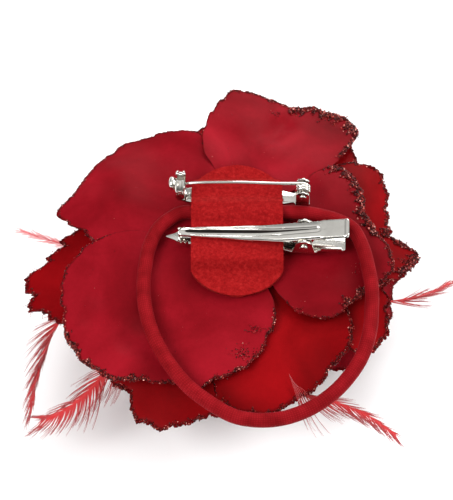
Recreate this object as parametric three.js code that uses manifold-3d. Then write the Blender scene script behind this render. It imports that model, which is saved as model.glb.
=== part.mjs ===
// A fabric flower hair ornament, lying face down with its back up, in millimetres, +Z up.
// Its back carries a brooch pin and an alligator clip under a felt pad, and an elastic hair tie.
// The origin is the middle of the bud's flat crown, on the surface that the flower lies on.
// +X runs along the clip towards its handle, and +Z is the way the back faces.
import * as THREE from "three";
import { mergeVertices } from "three/addons/utils/BufferGeometryUtils.js";
import Module from "manifold-3d";

const wasm = await Module();
wasm.setup();

// ---------- Driving dimensions ----------
const FIT = 0.3; // gap between pieces that touch or run on each other

// Flower
const BACK_HEIGHT = 34; // top of the rearmost petal sheet, at the flower's axis
const SHEET_THICKNESS = 0.7;
const SHEET_GAP = 0.45;
const POST_RADIUS = 1.4;
const POST_HEAD_RADIUS = 2.5;
const POST_HEAD_THICKNESS = 0.7;
const CAP_RADIUS = 2.6;
const CAP_THICKNESS = 0.9;
const BUD_RADIUS = 6.8;
const BUD_CROWN_RADIUS = 3.5;

// Felt pad and the glue under it
const GLUE_THICKNESS = 1;
const GLUE_MARGIN = 1.2; // felt beyond the glue's ends
const CLIP_GLUE_WIDTH = 7.5;
const PIN_GLUE_WIDTH = 6.5;
const FELT_THICKNESS = 1.2;
const FELT_SIDE_CLEARANCE = 1.35; // felt's side to the clip's teeth and ears
const FELT_LENGTH = 41.2;
const FELT_END_BULGE = 1.4; // how much more the ends' radius is than half the width
const FELT_RAMP = 2.6;

// Elastic hair tie
const ELASTIC_DIAMETER = 3.8;
const ELASTIC_SIDES = 8;
const ELASTIC_STEPS = 76;
const LOOP_START_X = 10.9; // the loop proper starts and ends here, under the felt's sides

// Alligator clip
const METAL = 0.7; // sheet steel of the clip's jaw and of the brooch bar
const CLIP_TURN = -3; // degrees from the X axis
const CLIP_SHIFT = 0.85; // how far the clip sits off the pad's middle, towards its handle
const CLIP_PIVOT_Y = -4.1;
const CLIP_PIVOT_RISE = 3.2; // axle above the underside of the jaw
const JAW_REACH = 36.6; // axle to the pointed tip
const JAW_POINT = 2.6; // the bare point before the teeth
const TOOTH_COUNT = 3;
const TOOTH_LENGTH = 1.2;
const TOOTH_BASE = 1.5;
const TOOTH_HEIGHT = 0.7;
const JAW_HANDLE = 11.1; // axle to the handle's end
const JAW_HANDLE_HALF = 2.9;
const JAW_GRIP_HALF = 2;
const EAR_HALF_LENGTH = 3.3;
const EAR_TOP_RADIUS = 2.4;
const EAR_THICKNESS = 0.6;
const ARM_METAL = 0.6;
const ARM_SETBACK = 3.4; // the arm stops this far short of the jaw's tip
const ARM_HANDLE = 11.8;
const ARM_HALF_AT_AXLE = 2.75;
const ARM_HANDLE_HALF = 3;
const ARM_TIP_HALF = 1.3;
const ARM_HANDLE_RISE = 4.7; // handle's end above the axle
const AXLE_RADIUS = 0.75;
const AXLE_HEAD_RADIUS = 1.1;
const AXLE_HEAD_THICKNESS = 0.4;
const SPRING_WIRE = 0.6;
const SPRING_RADIUS = 1.75;
const SPRING_LEG = 6;

// Brooch pin
const PIN_TURN = -2; // degrees from the X axis
const PIN_X = 1.4;
const BAR_WIDTH = 4.8;
const BAR_LEFT = 17.4;
const BAR_RIGHT = 18.2;
const BAR_HOLE_RADIUS = 1;
const HINGE_SETBACK = 2; // rivet to the bar's right end
const HINGE_RISE = 4.8; // rivet above the underside of the bar
const HINGE_EAR_HALF = 1.8;
const HINGE_EAR_THICKNESS = 0.45;
const RIVET_RADIUS = 0.65;
const RIVET_HEAD_RADIUS = 1;
const RIVET_HEAD_THICKNESS = 0.35;
const COIL_RADIUS = 2.2;
const PIN_WIRE = 0.9;
const PIN_BOW = 1.1;
const CATCH_RISE = 5.9; // catch's axis above the underside of the bar
const CATCH_RADIUS = 3.5;
const CATCH_WALL = 0.75;
const CATCH_DEPTH = 1.8;
const CATCH_NECK_HALF = 1.3;
const KNOB_RADIUS = 1.7;
const KNOB_DEPTH = 1.6;

// ---------- Places worked out from the dimensions ----------
const SHEET_PITCH = SHEET_THICKNESS + SHEET_GAP;
const LAYER_COUNT = 6;
const sheetTop = (layer) => BACK_HEIGHT - SHEET_PITCH * (layer - 1);
const HARDWARE_Z = BACK_HEIGHT + 2 * FIT + GLUE_THICKNESS; // underside of the jaw and the bar
const METAL_TOP = HARDWARE_Z + METAL;
const LANE_Y = CAP_RADIUS + 0.1 + FIT + ELASTIC_DIAMETER / 2; // the elastic crosses here
const ELASTIC_Z = BACK_HEIGHT + FIT + ELASTIC_DIAMETER / 2;
const FELT_LOW = BACK_HEIGHT + FIT;
const FELT_OVER_METAL = METAL_TOP + 2 * FIT;
const FELT_OVER_ELASTIC = Math.max(FELT_OVER_METAL, ELASTIC_Z + ELASTIC_DIAMETER / 2 + FIT);
const FELT_TOP = FELT_OVER_METAL + FELT_THICKNESS;
const PIN_Y = LANE_Y + ELASTIC_DIAMETER / 2 + 2 * FIT + 0.2 + BAR_WIDTH / 2;
const ARM_REACH = JAW_REACH - ARM_SETBACK;
const HINGE_X = BAR_RIGHT - HINGE_SETBACK;
const CLIP_ROOM = JAW_REACH - JAW_POINT - TOOTH_COUNT * TOOTH_LENGTH - EAR_HALF_LENGTH;
const BROOCH_ROOM = BAR_LEFT - CATCH_DEPTH + HINGE_X - HINGE_EAR_HALF;
const FELT_WIDTH = Math.min(CLIP_ROOM, BROOCH_ROOM) - 2 * FELT_SIDE_CLEARANCE;
const FELT_END_RADIUS = FELT_WIDTH / 2 + FELT_END_BULGE;
const CLIP_PIVOT_X = CLIP_ROOM / 2 + EAR_HALF_LENGTH + CLIP_SHIFT;
const CLIP_PIVOT_Z = HARDWARE_Z + CLIP_PIVOT_RISE;
const HINGE_Z = HARDWARE_Z + HINGE_RISE;
const CATCH_Z = HARDWARE_Z + CATCH_RISE;

const radians = THREE.MathUtils.degToRad;

// ---------- Finishes ----------
const finish = (color, roughness, metalness) =>
  new THREE.MeshStandardMaterial({ color, roughness, metalness });
const petalCloth = finish(0xa3101e, 0.6, 0);
const innerCloth = finish(0x8e0a18, 0.6, 0);
const felt = finish(0xcf2426, 0.95, 0);
const knit = finish(0x9a1822, 0.85, 0);
const nickel = finish(0xd8d6d0, 0.2, 1);
const plastic = finish(0x7d1018, 0.4, 0);
const glue = finish(0xe8e0cc, 0.35, 0);
const plume = finish(0xe86a6c, 0.8, 0);

// ---------- Solids ----------
// A closed three.js geometry as a solid that can be joined and cut.
function solid(geometry) {
  const bare = geometry.clone();
  bare.deleteAttribute("normal");
  bare.deleteAttribute("uv");
  const merged = mergeVertices(bare, 1e-3);
  const triVerts = merged.index.array;
  const vertProperties = merged.attributes.position.array;
  return new wasm.Manifold(new wasm.Mesh({ numProp: 3, vertProperties, triVerts }));
}

function geometryOf(body) {
  const mesh = body.getMesh();
  const geometry = new THREE.BufferGeometry();
  geometry.setAttribute("position", new THREE.BufferAttribute(mesh.vertProperties, 3));
  geometry.setIndex(new THREE.BufferAttribute(mesh.triVerts, 1));
  geometry.computeVertexNormals();
  return geometry;
}

const join = (first, ...rest) =>
  geometryOf(rest.reduce((body, next) => body.add(solid(next)), solid(first)));
const cut = (first, ...rest) =>
  geometryOf(rest.reduce((body, next) => body.subtract(solid(next)), solid(first)));
const common = (first, second) => geometryOf(solid(first).intersect(solid(second)));

function box(x0, x1, y0, y1, z0, z1) {
  const geometry = new THREE.BoxGeometry(x1 - x0, y1 - y0, z1 - z0);
  return geometry.translate((x0 + x1) / 2, (y0 + y1) / 2, (z0 + z1) / 2);
}

// A plan outline raised from one height to another.
function slab(shape, z0, z1, curveSegments = 12) {
  const options = { depth: z1 - z0, bevelEnabled: false, curveSegments };
  return new THREE.ExtrudeGeometry(shape, options).translate(0, 0, z0);
}

// A side outline, drawn in X and Z, stretched across Y.
function sideSlab(shape, y0, y1, curveSegments = 10) {
  const options = { depth: y1 - y0, bevelEnabled: false, curveSegments };
  return new THREE.ExtrudeGeometry(shape, options).rotateX(Math.PI / 2).translate(0, y1, 0);
}

function rodAlongY(radius, y0, y1, x, z, sides = 20) {
  const rod = new THREE.CylinderGeometry(radius, radius, y1 - y0, sides);
  return rod.translate(x, (y0 + y1) / 2, z);
}

function rodAlongX(radius, x0, x1, z, sides = 20) {
  const rod = new THREE.CylinderGeometry(radius, radius, x1 - x0, sides);
  return rod.rotateZ(Math.PI / 2).translate((x0 + x1) / 2, 0, z);
}

function rodAlongZ(radius, x, y, z0, z1, sides = 20) {
  const rod = new THREE.CylinderGeometry(radius, radius, z1 - z0, sides);
  return rod.rotateX(Math.PI / 2).translate(x, y, (z0 + z1) / 2);
}

function polygon(points) {
  return new THREE.Shape(points.map(([x, y]) => new THREE.Vector2(x, y)));
}

// A round section carried along a smooth route.
function tube(points, diameter, steps, sides) {
  const section = new THREE.Shape();
  section.absarc(0, 0, diameter / 2, 0, 2 * Math.PI, false);
  const route = new THREE.CatmullRomCurve3(points.map((p) => new THREE.Vector3(...p)));
  const options = { extrudePath: route, steps, curveSegments: sides / 2 }; // a full circle gets twice as many
  return new THREE.ExtrudeGeometry(section, options);
}

const flower = new THREE.Group();
function piece(name, geometry, material, parent = flower) {
  const mesh = new THREE.Mesh(geometry, material);
  mesh.name = name;
  parent.add(mesh);
  return mesh;
}

// ---------- Petal sheets ----------
// Each sheet is die-cut in one piece: round lobes with slits between them, and a hole for the post.
const lobe = (from, to, reach) => ({ at: (from + to) / 2, half: (to - from) / 2, reach });
const evenLobes = (count, firstSlit, reach) =>
  Array.from({ length: count }, (_, i) =>
    lobe(firstSlit + (i * 360) / count, firstSlit + ((i + 1) * 360) / count, reach),
  );

// The sheet's outline: a lobe's round end, or the slit between two lobes.
function outline(lobes, slit, angle) {
  const reaches = lobes.map(({ at, half, reach }) => {
    const away = Math.abs(THREE.MathUtils.euclideanModulo(angle - at + 180, 360) - 180) / half;
    return away < 1 ? slit + (reach - slit) * Math.sqrt(1 - away ** 4) : slit;
  });
  return Math.max(...reaches);
}

// A lathed disc whose rim is drawn out into the lobes and whose face bends down by the bend's rule.
function petalSheet({ layer, lobes, slit, bend, segments, rings }) {
  const hole = POST_RADIUS + FIT;
  const radii = Array.from({ length: rings + 1 }, (_, i) => 1 + i);
  const profile = [
    ...radii.map((r) => new THREE.Vector2(r, 0)),
    ...radii.reverse().map((r) => new THREE.Vector2(r, 1)),
    new THREE.Vector2(1, 0),
  ];
  const sheet = new THREE.LatheGeometry(profile, segments).rotateX(Math.PI / 2);
  const position = sheet.attributes.position;
  for (let i = 0; i < position.count; i++) {
    const [x, y, upper] = [position.getX(i), position.getY(i), position.getZ(i)];
    const share = (Math.hypot(x, y) - 1) / rings;
    const turn = Math.atan2(y, x);
    const angle = Math.round(THREE.MathUtils.radToDeg(turn));
    const r = hole + share * (outline(lobes, slit, angle) - hole);
    const { drop, slope } = bend(r, angle);
    const wall = upper * SHEET_THICKNESS * Math.hypot(1, slope);
    const z = sheetTop(layer) - SHEET_THICKNESS - drop + wall;
    position.setXYZ(i, r * Math.cos(turn), r * Math.sin(turn), z);
  }
  return sheet;
}

// The back sheets hang a little, more on the side away from the hair tie.
const HANG_REACH = 50;
const HANG_SWAY = 2.5;
const HANG_TOWARDS = 110;
const hanging = (fall) => (r, angle) => {
  const depth = fall + HANG_SWAY * Math.cos(radians(angle - HANG_TOWARDS));
  const slope = (2 * depth * r) / HANG_REACH ** 2;
  return { drop: depth * (r / HANG_REACH) ** 2, slope };
};

// The front sheets are cups, deep enough for their rims to come to a given height.
const cupped = (layer, reach, rimHeight, power) => (r) => {
  const depth = sheetTop(layer) - SHEET_THICKNESS - rimHeight;
  const slope = (power * depth * (r / reach) ** (power - 1)) / reach;
  return { drop: depth * (r / reach) ** power, slope };
};

const backLobes = [
  lobe(40, 105, 48.5),
  lobe(105, 175, 48),
  lobe(175, 250, 51),
  lobe(230, 300, 44),
  lobe(300, 400, 41),
];
const secondLobes = [
  lobe(15, 60, 45.5),
  lobe(60, 155, 44),
  lobe(155, 220, 55.5),
  lobe(220, 265, 54.5),
  lobe(265, 315, 47.5),
  lobe(315, 375, 48.5),
];
const CUP_REACH = { 3: 43, 4: 34, 5: 25, 6: 15.5 };
const CUP_RIM = { 3: 12, 4: 4, 5: 0, 6: 2 };
const secondBend = hanging(9);
const thirdBend = cupped(3, CUP_REACH[3], CUP_RIM[3], 2.2);

const sheets = [
  {
    name: "petals_1_back",
    material: petalCloth,
    layer: 1,
    lobes: backLobes,
    slit: 22,
    bend: hanging(5.5),
    segments: 72,
    rings: 4,
  },
  {
    name: "petals_2",
    material: petalCloth,
    layer: 2,
    lobes: secondLobes,
    slit: 26,
    bend: secondBend,
    segments: 72,
    rings: 4,
  },
  {
    name: "petals_3",
    material: petalCloth,
    layer: 3,
    lobes: evenLobes(5, 54, CUP_REACH[3]),
    slit: 22,
    bend: thirdBend,
    segments: 40,
    rings: 4,
  },
  {
    name: "petals_4",
    material: innerCloth,
    layer: 4,
    lobes: evenLobes(5, 18, CUP_REACH[4]),
    slit: 15,
    bend: cupped(4, CUP_REACH[4], CUP_RIM[4], 2.2),
    segments: 40,
    rings: 4,
  },
  {
    name: "petals_5",
    material: innerCloth,
    layer: 5,
    lobes: evenLobes(4, 45, CUP_REACH[5]),
    slit: 12,
    bend: cupped(5, CUP_REACH[5], CUP_RIM[5], 2.6),
    segments: 40,
    rings: 4,
  },
  {
    name: "petals_6_bud_wrap",
    material: innerCloth,
    layer: LAYER_COUNT,
    lobes: evenLobes(3, 0, CUP_REACH[6]),
    slit: 9,
    bend: cupped(LAYER_COUNT, CUP_REACH[6], CUP_RIM[6], 2.6),
    segments: 36,
    rings: 4,
  },
];
for (const sheet of sheets) {
  piece(sheet.name, petalSheet(sheet), sheet.material);
}

// ---------- Bud and post ----------
const HEAD_TOP = sheetTop(LAYER_COUNT) - SHEET_THICKNESS - 2 * FIT;
const BUD_TOP = HEAD_TOP - POST_HEAD_THICKNESS - FIT;

// The rolled bud: a flat crown, a full waist, and a narrow base glued to the post's head.
function budCore() {
  const waist = new THREE.SplineCurve([
    new THREE.Vector2(BUD_CROWN_RADIUS, 0),
    new THREE.Vector2(BUD_RADIUS - 0.4, BUD_TOP * 0.18),
    new THREE.Vector2(BUD_RADIUS, BUD_TOP * 0.45),
    new THREE.Vector2(BUD_RADIUS - 1.8, BUD_TOP * 0.78),
    new THREE.Vector2(POST_HEAD_RADIUS, BUD_TOP),
  ]);
  const profile = [
    new THREE.Vector2(0, 0),
    ...waist.getPoints(10),
    new THREE.Vector2(0, BUD_TOP),
  ];
  return new THREE.LatheGeometry(profile, 28).rotateX(Math.PI / 2);
}
piece("bud_core", budCore(), innerCloth);

const CAP_LOW = BACK_HEIGHT + FIT;
const postHead = rodAlongZ(POST_HEAD_RADIUS, 0, 0, HEAD_TOP - POST_HEAD_THICKNESS, HEAD_TOP);
const postShaft = rodAlongZ(POST_RADIUS, 0, 0, HEAD_TOP - FIT, CAP_LOW + CAP_THICKNESS);
piece("stem_post", join(postHead, postShaft), plastic);

const capDisc = rodAlongZ(CAP_RADIUS, 0, 0, CAP_LOW, CAP_LOW + CAP_THICKNESS);
const capBore = rodAlongZ(POST_RADIUS + FIT, 0, 0, CAP_LOW - 1, CAP_LOW + CAP_THICKNESS + 1);
piece("stem_cap", cut(capDisc, capBore), plastic);

// ---------- Feathers ----------
// Thin blades between the second and third sheets, pointing out and a little down.
const FEATHER_THICKNESS = 0.6;
const feathers = [
  { name: "feather_left", x: -30, y: 0.5, heading: 167, tilt: 16, length: 28, width: 6 },
  { name: "feather_lower_left", x: -31, y: -14, heading: 229, tilt: 12, length: 37, width: 7 },
  { name: "feather_bottom_left", x: -20, y: -24, heading: 219, tilt: 11, length: 39, width: 9 },
  { name: "feather_right", x: 30, y: -12, heading: 6, tilt: 10, length: 28, width: 7 },
  { name: "feather_bottom_right", x: 17, y: -27, heading: 312, tilt: 8, length: 36, width: 9 },
];

// Halfway between the second sheet's underside and the third sheet's top.
function betweenSheets(x, y) {
  const r = Math.hypot(x, y);
  const angle = THREE.MathUtils.radToDeg(Math.atan2(y, x));
  const under = sheetTop(2) - SHEET_THICKNESS - secondBend(r, angle).drop;
  const { drop, slope } = thirdBend(r);
  const over = sheetTop(3) - SHEET_THICKNESS - drop + SHEET_THICKNESS * Math.hypot(1, slope);
  return (under + over) / 2;
}

function featherBlade(length, width) {
  const blade = new THREE.Shape();
  blade.moveTo(0, 0.4);
  blade.bezierCurveTo(length * 0.3, width / 2, length * 0.75, width * 0.6, length, 0);
  blade.bezierCurveTo(length * 0.75, -width * 0.6, length * 0.3, -width / 2, 0, -0.4);
  return slab(blade, 0, FEATHER_THICKNESS, 8);
}
for (const { name, x, y, heading, tilt, length, width } of feathers) {
  const feather = piece(name, featherBlade(length, width), plume);
  feather.position.set(x, y, betweenSheets(x, y));
  feather.rotation.set(0, radians(tilt), radians(heading), "ZYX");
}

// ---------- Glue beds and felt pad ----------
const glueHalf = FELT_WIDTH / 2 - GLUE_MARGIN;
const glueLow = BACK_HEIGHT + FIT;
const glueBed = (y0, y1) => box(-glueHalf, glueHalf, y0, y1, glueLow, glueLow + GLUE_THICKNESS);
const clipBedTop = -CAP_RADIUS - 2 * FIT;
const clipBedLow = clipBedTop - CLIP_GLUE_WIDTH;
piece("glue_under_clip", glueBed(clipBedLow, clipBedTop), glue);
const pinBedLow = PIN_Y - BAR_WIDTH / 2;
piece("glue_under_pin", glueBed(pinBedLow, pinBedLow + PIN_GLUE_WIDTH), glue);

// Heights of the felt's underside from one end to the other: flat stretches joined by soft ramps.
function feltStations() {
  const halfLength = FELT_LENGTH / 2;
  const elasticEdge = ELASTIC_DIAMETER / 2 + FIT;
  const pinEdge = PIN_Y + BAR_WIDTH / 2 + 4 * FIT;
  const corners = [
    [-halfLength - 1, FELT_LOW],
    [clipBedLow - FELT_RAMP, FELT_LOW],
    [clipBedLow, FELT_OVER_METAL],
    [LANE_Y - elasticEdge - FELT_RAMP, FELT_OVER_METAL],
    [LANE_Y - elasticEdge, FELT_OVER_ELASTIC],
    [LANE_Y + elasticEdge, FELT_OVER_ELASTIC],
    [LANE_Y + elasticEdge + 0.8, FELT_OVER_METAL],
    [pinEdge, FELT_OVER_METAL],
    [pinEdge + FELT_RAMP, FELT_LOW],
    [halfLength + 1, FELT_LOW],
  ];
  const stations = [corners[0]];
  for (const [i, [y, z]] of corners.slice(1).entries()) {
    const [fromY, fromZ] = corners[i];
    const parts = z === fromZ ? 1 : 4;
    for (let k = 1; k <= parts; k++) {
      const share = k / parts;
      stations.push([fromY + (y - fromY) * share, fromZ + (z - fromZ) * share ** 2 * (3 - 2 * share)]);
    }
  }
  return stations;
}

// The pad's plan: straight sides and ends cut to one radius.
function feltOutline() {
  const arcY = FELT_LENGTH / 2 - FELT_END_RADIUS;
  const corner = Math.acos(FELT_WIDTH / 2 / FELT_END_RADIUS);
  const shape = new THREE.Shape();
  shape.absarc(0, arcY, FELT_END_RADIUS, corner, Math.PI - corner, false);
  shape.absarc(0, -arcY, FELT_END_RADIUS, Math.PI + corner, 2 * Math.PI - corner, false);
  return shape;
}

function feltPad() {
  const under = feltStations();
  const over = under.map(([y, z]) => [y, z + FELT_THICKNESS]).reverse();
  const strip = polygon([...under, ...over].map(([y, z]) => [y, z]));
  const width = FELT_WIDTH + 4;
  const options = { depth: width, bevelEnabled: false };
  // Drawn in Y and Z, then stretched along X.
  const blanket = new THREE.ExtrudeGeometry(strip, options)
    .rotateX(Math.PI / 2)
    .rotateZ(Math.PI / 2)
    .translate(-width / 2, 0, 0);
  return common(blanket, slab(feltOutline(), BACK_HEIGHT - 5, BACK_HEIGHT + 15, 18));
}
piece("felt_pad", feltPad(), felt);

// ---------- Elastic hair tie ----------
// The loop's route from the pad's right side round to its left, as x, y and height over its start.
const loopRoute = [
  [LOOP_START_X, LANE_Y, 0],
  [12.6, LANE_Y, 0],
  [14.4, LANE_Y, 0],
  [18, 4.7, -0.05],
  [22.6, 3.9, -0.2],
  [27, 2.5, -0.4],
  [30.9, -0.1, -0.6],
  [33.3, -5.4, -0.9],
  [34.6, -11.4, -1.2],
  [35.4, -18, -1.5],
  [35.2, -24, -1.8],
  [34.6, -30.1, -2.1],
  [32.6, -37.1, -2.3],
  [29.3, -43, -2.5],
  [24.5, -48.6, -2.7],
  [18.5, -53, -2.8],
  [12.1, -55.6, -2.9],
  [5.6, -56.3, -2.9],
  [-0.9, -55.1, -2.9],
  [-7, -51.4, -2.8],
  [-12.9, -46.4, -2.5],
  [-17.7, -40, -2.3],
  [-21.4, -33, -2],
  [-23.6, -26.2, -1.7],
  [-24.6, -19, -1.4],
  [-24.3, -11.6, -1.1],
  [-23.2, -5.2, -0.7],
  [-20.6, 0.4, -0.3],
  [-16.4, 4, -0.1],
  [-13.6, LANE_Y, 0],
  [-LOOP_START_X, LANE_Y, 0],
];
const loop = loopRoute.map(([x, y, rise]) => [x, y, ELASTIC_Z + rise]);
piece("hair_tie", tube(loop, ELASTIC_DIAMETER, ELASTIC_STEPS, ELASTIC_SIDES), knit);

// The stretch under the felt, where the loop's two ends are bonded to each other.
const joinHalf = LOOP_START_X - FIT;
const joinRod = rodAlongX(ELASTIC_DIAMETER / 2, -joinHalf, joinHalf, ELASTIC_Z, 12);
piece("elastic_join", joinRod.translate(0, LANE_Y, 0), knit);

// ---------- Alligator clip ----------
// Everything on the clip is drawn along X from the axle, then turned a little as a group.
const clip = new THREE.Group();
clip.position.set(CLIP_PIVOT_X, CLIP_PIVOT_Y, 0);
clip.rotation.z = radians(CLIP_TURN);
flower.add(clip);

const EAR_INNER = ARM_HALF_AT_AXLE + FIT;
const EAR_OUTER = EAR_INNER + EAR_THICKNESS;
const AXLE_BORE = AXLE_RADIUS + FIT;

// A plan outline that is the same on both sides of the X axis, from [x, half width] pairs.
const mirrored = (halves) =>
  polygon([...halves.map(([x, h]) => [x, -h]), ...[...halves].reverse().map(([x, h]) => [x, h])]);

function earOutline() {
  const ear = new THREE.Shape();
  ear.moveTo(-EAR_HALF_LENGTH, HARDWARE_Z);
  ear.lineTo(EAR_HALF_LENGTH, HARDWARE_Z);
  ear.absarc(0, CLIP_PIVOT_Z, EAR_TOP_RADIUS, 0, Math.PI, false);
  return ear;
}

// The jaw's tip has turned-up sides with teeth, which the arm's tip drops between.
function toothOutline() {
  const start = -JAW_REACH + JAW_POINT;
  const points = [[start, HARDWARE_Z]];
  for (let i = 0; i < TOOTH_COUNT; i++) {
    const x = start + i * TOOTH_LENGTH;
    points.push([x, HARDWARE_Z + TOOTH_BASE]);
    points.push([x + TOOTH_LENGTH / 2, HARDWARE_Z + TOOTH_BASE + TOOTH_HEIGHT]);
  }
  points.push([start + TOOTH_COUNT * TOOTH_LENGTH, HARDWARE_Z + TOOTH_BASE]);
  points.push([start + TOOTH_COUNT * TOOTH_LENGTH, HARDWARE_Z]);
  return polygon(points.reverse());
}

function lowerJaw() {
  const plan = mirrored([
    [-JAW_REACH, 0.3],
    [-JAW_REACH + JAW_POINT, JAW_GRIP_HALF],
    [-EAR_HALF_LENGTH - 4, JAW_HANDLE_HALF - 0.3],
    [-EAR_HALF_LENGTH, EAR_OUTER],
    [EAR_HALF_LENGTH, EAR_OUTER],
    [EAR_HALF_LENGTH + 0.8, JAW_HANDLE_HALF],
    [JAW_HANDLE - 0.8, JAW_HANDLE_HALF],
    [JAW_HANDLE, JAW_HANDLE_HALF - 0.8],
  ]);
  const sides = [-1, 1].flatMap((side) => {
    const across = (inner, outer) => [side * inner, side * outer].sort((a, b) => a - b);
    const rim = across(JAW_HANDLE_HALF - 0.5, JAW_HANDLE_HALF);
    return [
      sideSlab(earOutline(), ...across(EAR_INNER, EAR_OUTER)),
      sideSlab(toothOutline(), ...across(JAW_GRIP_HALF - 0.1, JAW_GRIP_HALF + 0.4)),
      box(EAR_HALF_LENGTH + 0.8, JAW_HANDLE - 0.8, ...rim, HARDWARE_Z, METAL_TOP + 0.8),
    ];
  });
  const body = join(slab(plan, HARDWARE_Z, METAL_TOP), ...sides);
  return cut(body, rodAlongY(AXLE_BORE, -EAR_OUTER - 1, EAR_OUTER + 1, 0, CLIP_PIVOT_Z, 24));
}
piece("clip_lower_jaw", lowerJaw(), nickel, clip);

// The arm clears the felt, bows up over the axle and ends in a raised handle.
const ARM_LOW = FELT_TOP + FIT + ARM_METAL / 2;
const ARM_AT_AXLE = CLIP_PIVOT_Z + EAR_TOP_RADIUS + 0.1;
const ARM_END = CLIP_PIVOT_Z + ARM_HANDLE_RISE;
const armLine = new THREE.SplineCurve([
  new THREE.Vector2(-ARM_REACH, ARM_LOW + 0.05),
  new THREE.Vector2(-ARM_REACH * 0.78, ARM_LOW + 0.25),
  new THREE.Vector2(-ARM_REACH * 0.5, ARM_LOW + 0.55),
  new THREE.Vector2(-ARM_REACH * 0.25, ARM_LOW * 0.55 + ARM_AT_AXLE * 0.45),
  new THREE.Vector2(0, ARM_AT_AXLE),
  new THREE.Vector2(ARM_HANDLE * 0.5, ARM_AT_AXLE * 0.45 + ARM_END * 0.55),
  new THREE.Vector2(ARM_HANDLE, ARM_END),
]);

function armSide() {
  const line = armLine.getPoints(28);
  const lower = line.map((p) => [p.x, p.y - ARM_METAL / 2]);
  const upper = line.map((p) => [p.x, p.y + ARM_METAL / 2]);
  return polygon([...lower, ...upper.reverse()]);
}

// The long slot that splits the arm into two prongs.
const SLOT_HALF = 0.75;
const SLOT_END_HALF = 0.3;
const SLOT_RIGHT = 3;
const slotPlan = mirrored([
  [-ARM_REACH + 1.6, SLOT_END_HALF],
  [-ARM_REACH + 3.4, SLOT_HALF - 0.2],
  [-ARM_REACH * 0.6, SLOT_HALF],
  [-ARM_REACH * 0.2, SLOT_HALF - 0.2],
  [SLOT_RIGHT, SLOT_END_HALF],
]);

function armCheek() {
  const radius = EAR_TOP_RADIUS - 0.5;
  const cheek = new THREE.Shape();
  cheek.absarc(0, CLIP_PIVOT_Z, radius, Math.PI, 2 * Math.PI, false);
  cheek.lineTo(EAR_HALF_LENGTH - 0.3, armLine.getPoint(0.71).y);
  cheek.lineTo(-EAR_HALF_LENGTH + 0.3, ARM_AT_AXLE - 0.8);
  return cheek;
}

function upperArm() {
  const plan = mirrored([
    [-ARM_REACH, ARM_TIP_HALF - 0.3],
    [-ARM_REACH + 0.7, ARM_TIP_HALF],
    [-ARM_REACH * 0.5, (ARM_TIP_HALF + ARM_HALF_AT_AXLE) / 2 + 0.2],
    [-EAR_HALF_LENGTH - 1, ARM_HALF_AT_AXLE],
    [EAR_HALF_LENGTH + 0.6, ARM_HALF_AT_AXLE],
    [EAR_HALF_LENGTH + 1.2, ARM_HANDLE_HALF],
    [ARM_HANDLE, ARM_HANDLE_HALF],
  ]);
  const blank = sideSlab(armSide(), -ARM_HANDLE_HALF - 1, ARM_HANDLE_HALF + 1);
  const strap = common(blank, slab(plan, HARDWARE_Z, ARM_END + 5));
  const lip = box(-ARM_REACH, -ARM_REACH + 0.6, -0.95, 0.95, METAL_TOP + FIT, ARM_LOW);
  const cheeks = [-ARM_HALF_AT_AXLE, ARM_HALF_AT_AXLE - 0.55].map((y) => sideSlab(armCheek(), y, y + 0.55));
  const bore = rodAlongY(AXLE_BORE, -ARM_HALF_AT_AXLE - 1, ARM_HALF_AT_AXLE + 1, 0, CLIP_PIVOT_Z, 24);
  return cut(join(strap, lip, ...cheeks), bore, slab(slotPlan, HARDWARE_Z, ARM_END + 5));
}
piece("clip_upper_arm", upperArm(), nickel, clip);

function headedRod(radius, headRadius, headThickness, halfSpan, x, z) {
  const inner = halfSpan + FIT;
  const outer = inner + headThickness;
  return join(
    rodAlongY(radius, -outer, outer, x, z, 16),
    rodAlongY(headRadius, inner, outer, x, z, 16),
    rodAlongY(headRadius, -outer, -inner, x, z, 16),
  );
}
const axle = headedRod(AXLE_RADIUS, AXLE_HEAD_RADIUS, AXLE_HEAD_THICKNESS, EAR_OUTER, 0, CLIP_PIVOT_Z);
piece("clip_axle", axle, nickel, clip);

// The torsion spring: close turns round the axle, and one leg for each handle.
function clipSpring() {
  const half = ARM_HALF_AT_AXLE - 0.55 - 2 * FIT;
  const turns = cut(
    rodAlongY(SPRING_RADIUS, -half, half, 0, CLIP_PIVOT_Z, 16),
    rodAlongY(AXLE_BORE, -half - 1, half + 1, 0, CLIP_PIVOT_Z, 16),
  );
  const legOffset = SPRING_RADIUS - SPRING_WIRE / 2;
  const legY = half - SPRING_WIRE / 2;
  const jawLeg = [
    [0, legY, CLIP_PIVOT_Z - legOffset],
    [SPRING_LEG / 2, legY, METAL_TOP + FIT + SPRING_WIRE / 2 + 0.1],
    [SPRING_LEG, legY, METAL_TOP + FIT + SPRING_WIRE / 2],
  ];
  const armUnder = ARM_AT_AXLE * 0.45 + ARM_END * 0.55 - ARM_METAL / 2;
  const armLeg = [
    [0, -legY, CLIP_PIVOT_Z + legOffset],
    [SPRING_LEG / 2, -legY, CLIP_PIVOT_Z + legOffset + 0.6],
    [SPRING_LEG, -legY, armUnder - FIT - SPRING_WIRE / 2 - 0.1],
  ];
  return join(turns, tube(jawLeg, SPRING_WIRE, 5, 8), tube(armLeg, SPRING_WIRE, 5, 8));
}
piece("clip_spring", clipSpring(), nickel, clip);

// ---------- Brooch pin ----------
const brooch = new THREE.Group();
brooch.position.set(PIN_X, PIN_Y, 0);
brooch.rotation.z = radians(PIN_TURN);
flower.add(brooch);

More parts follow.
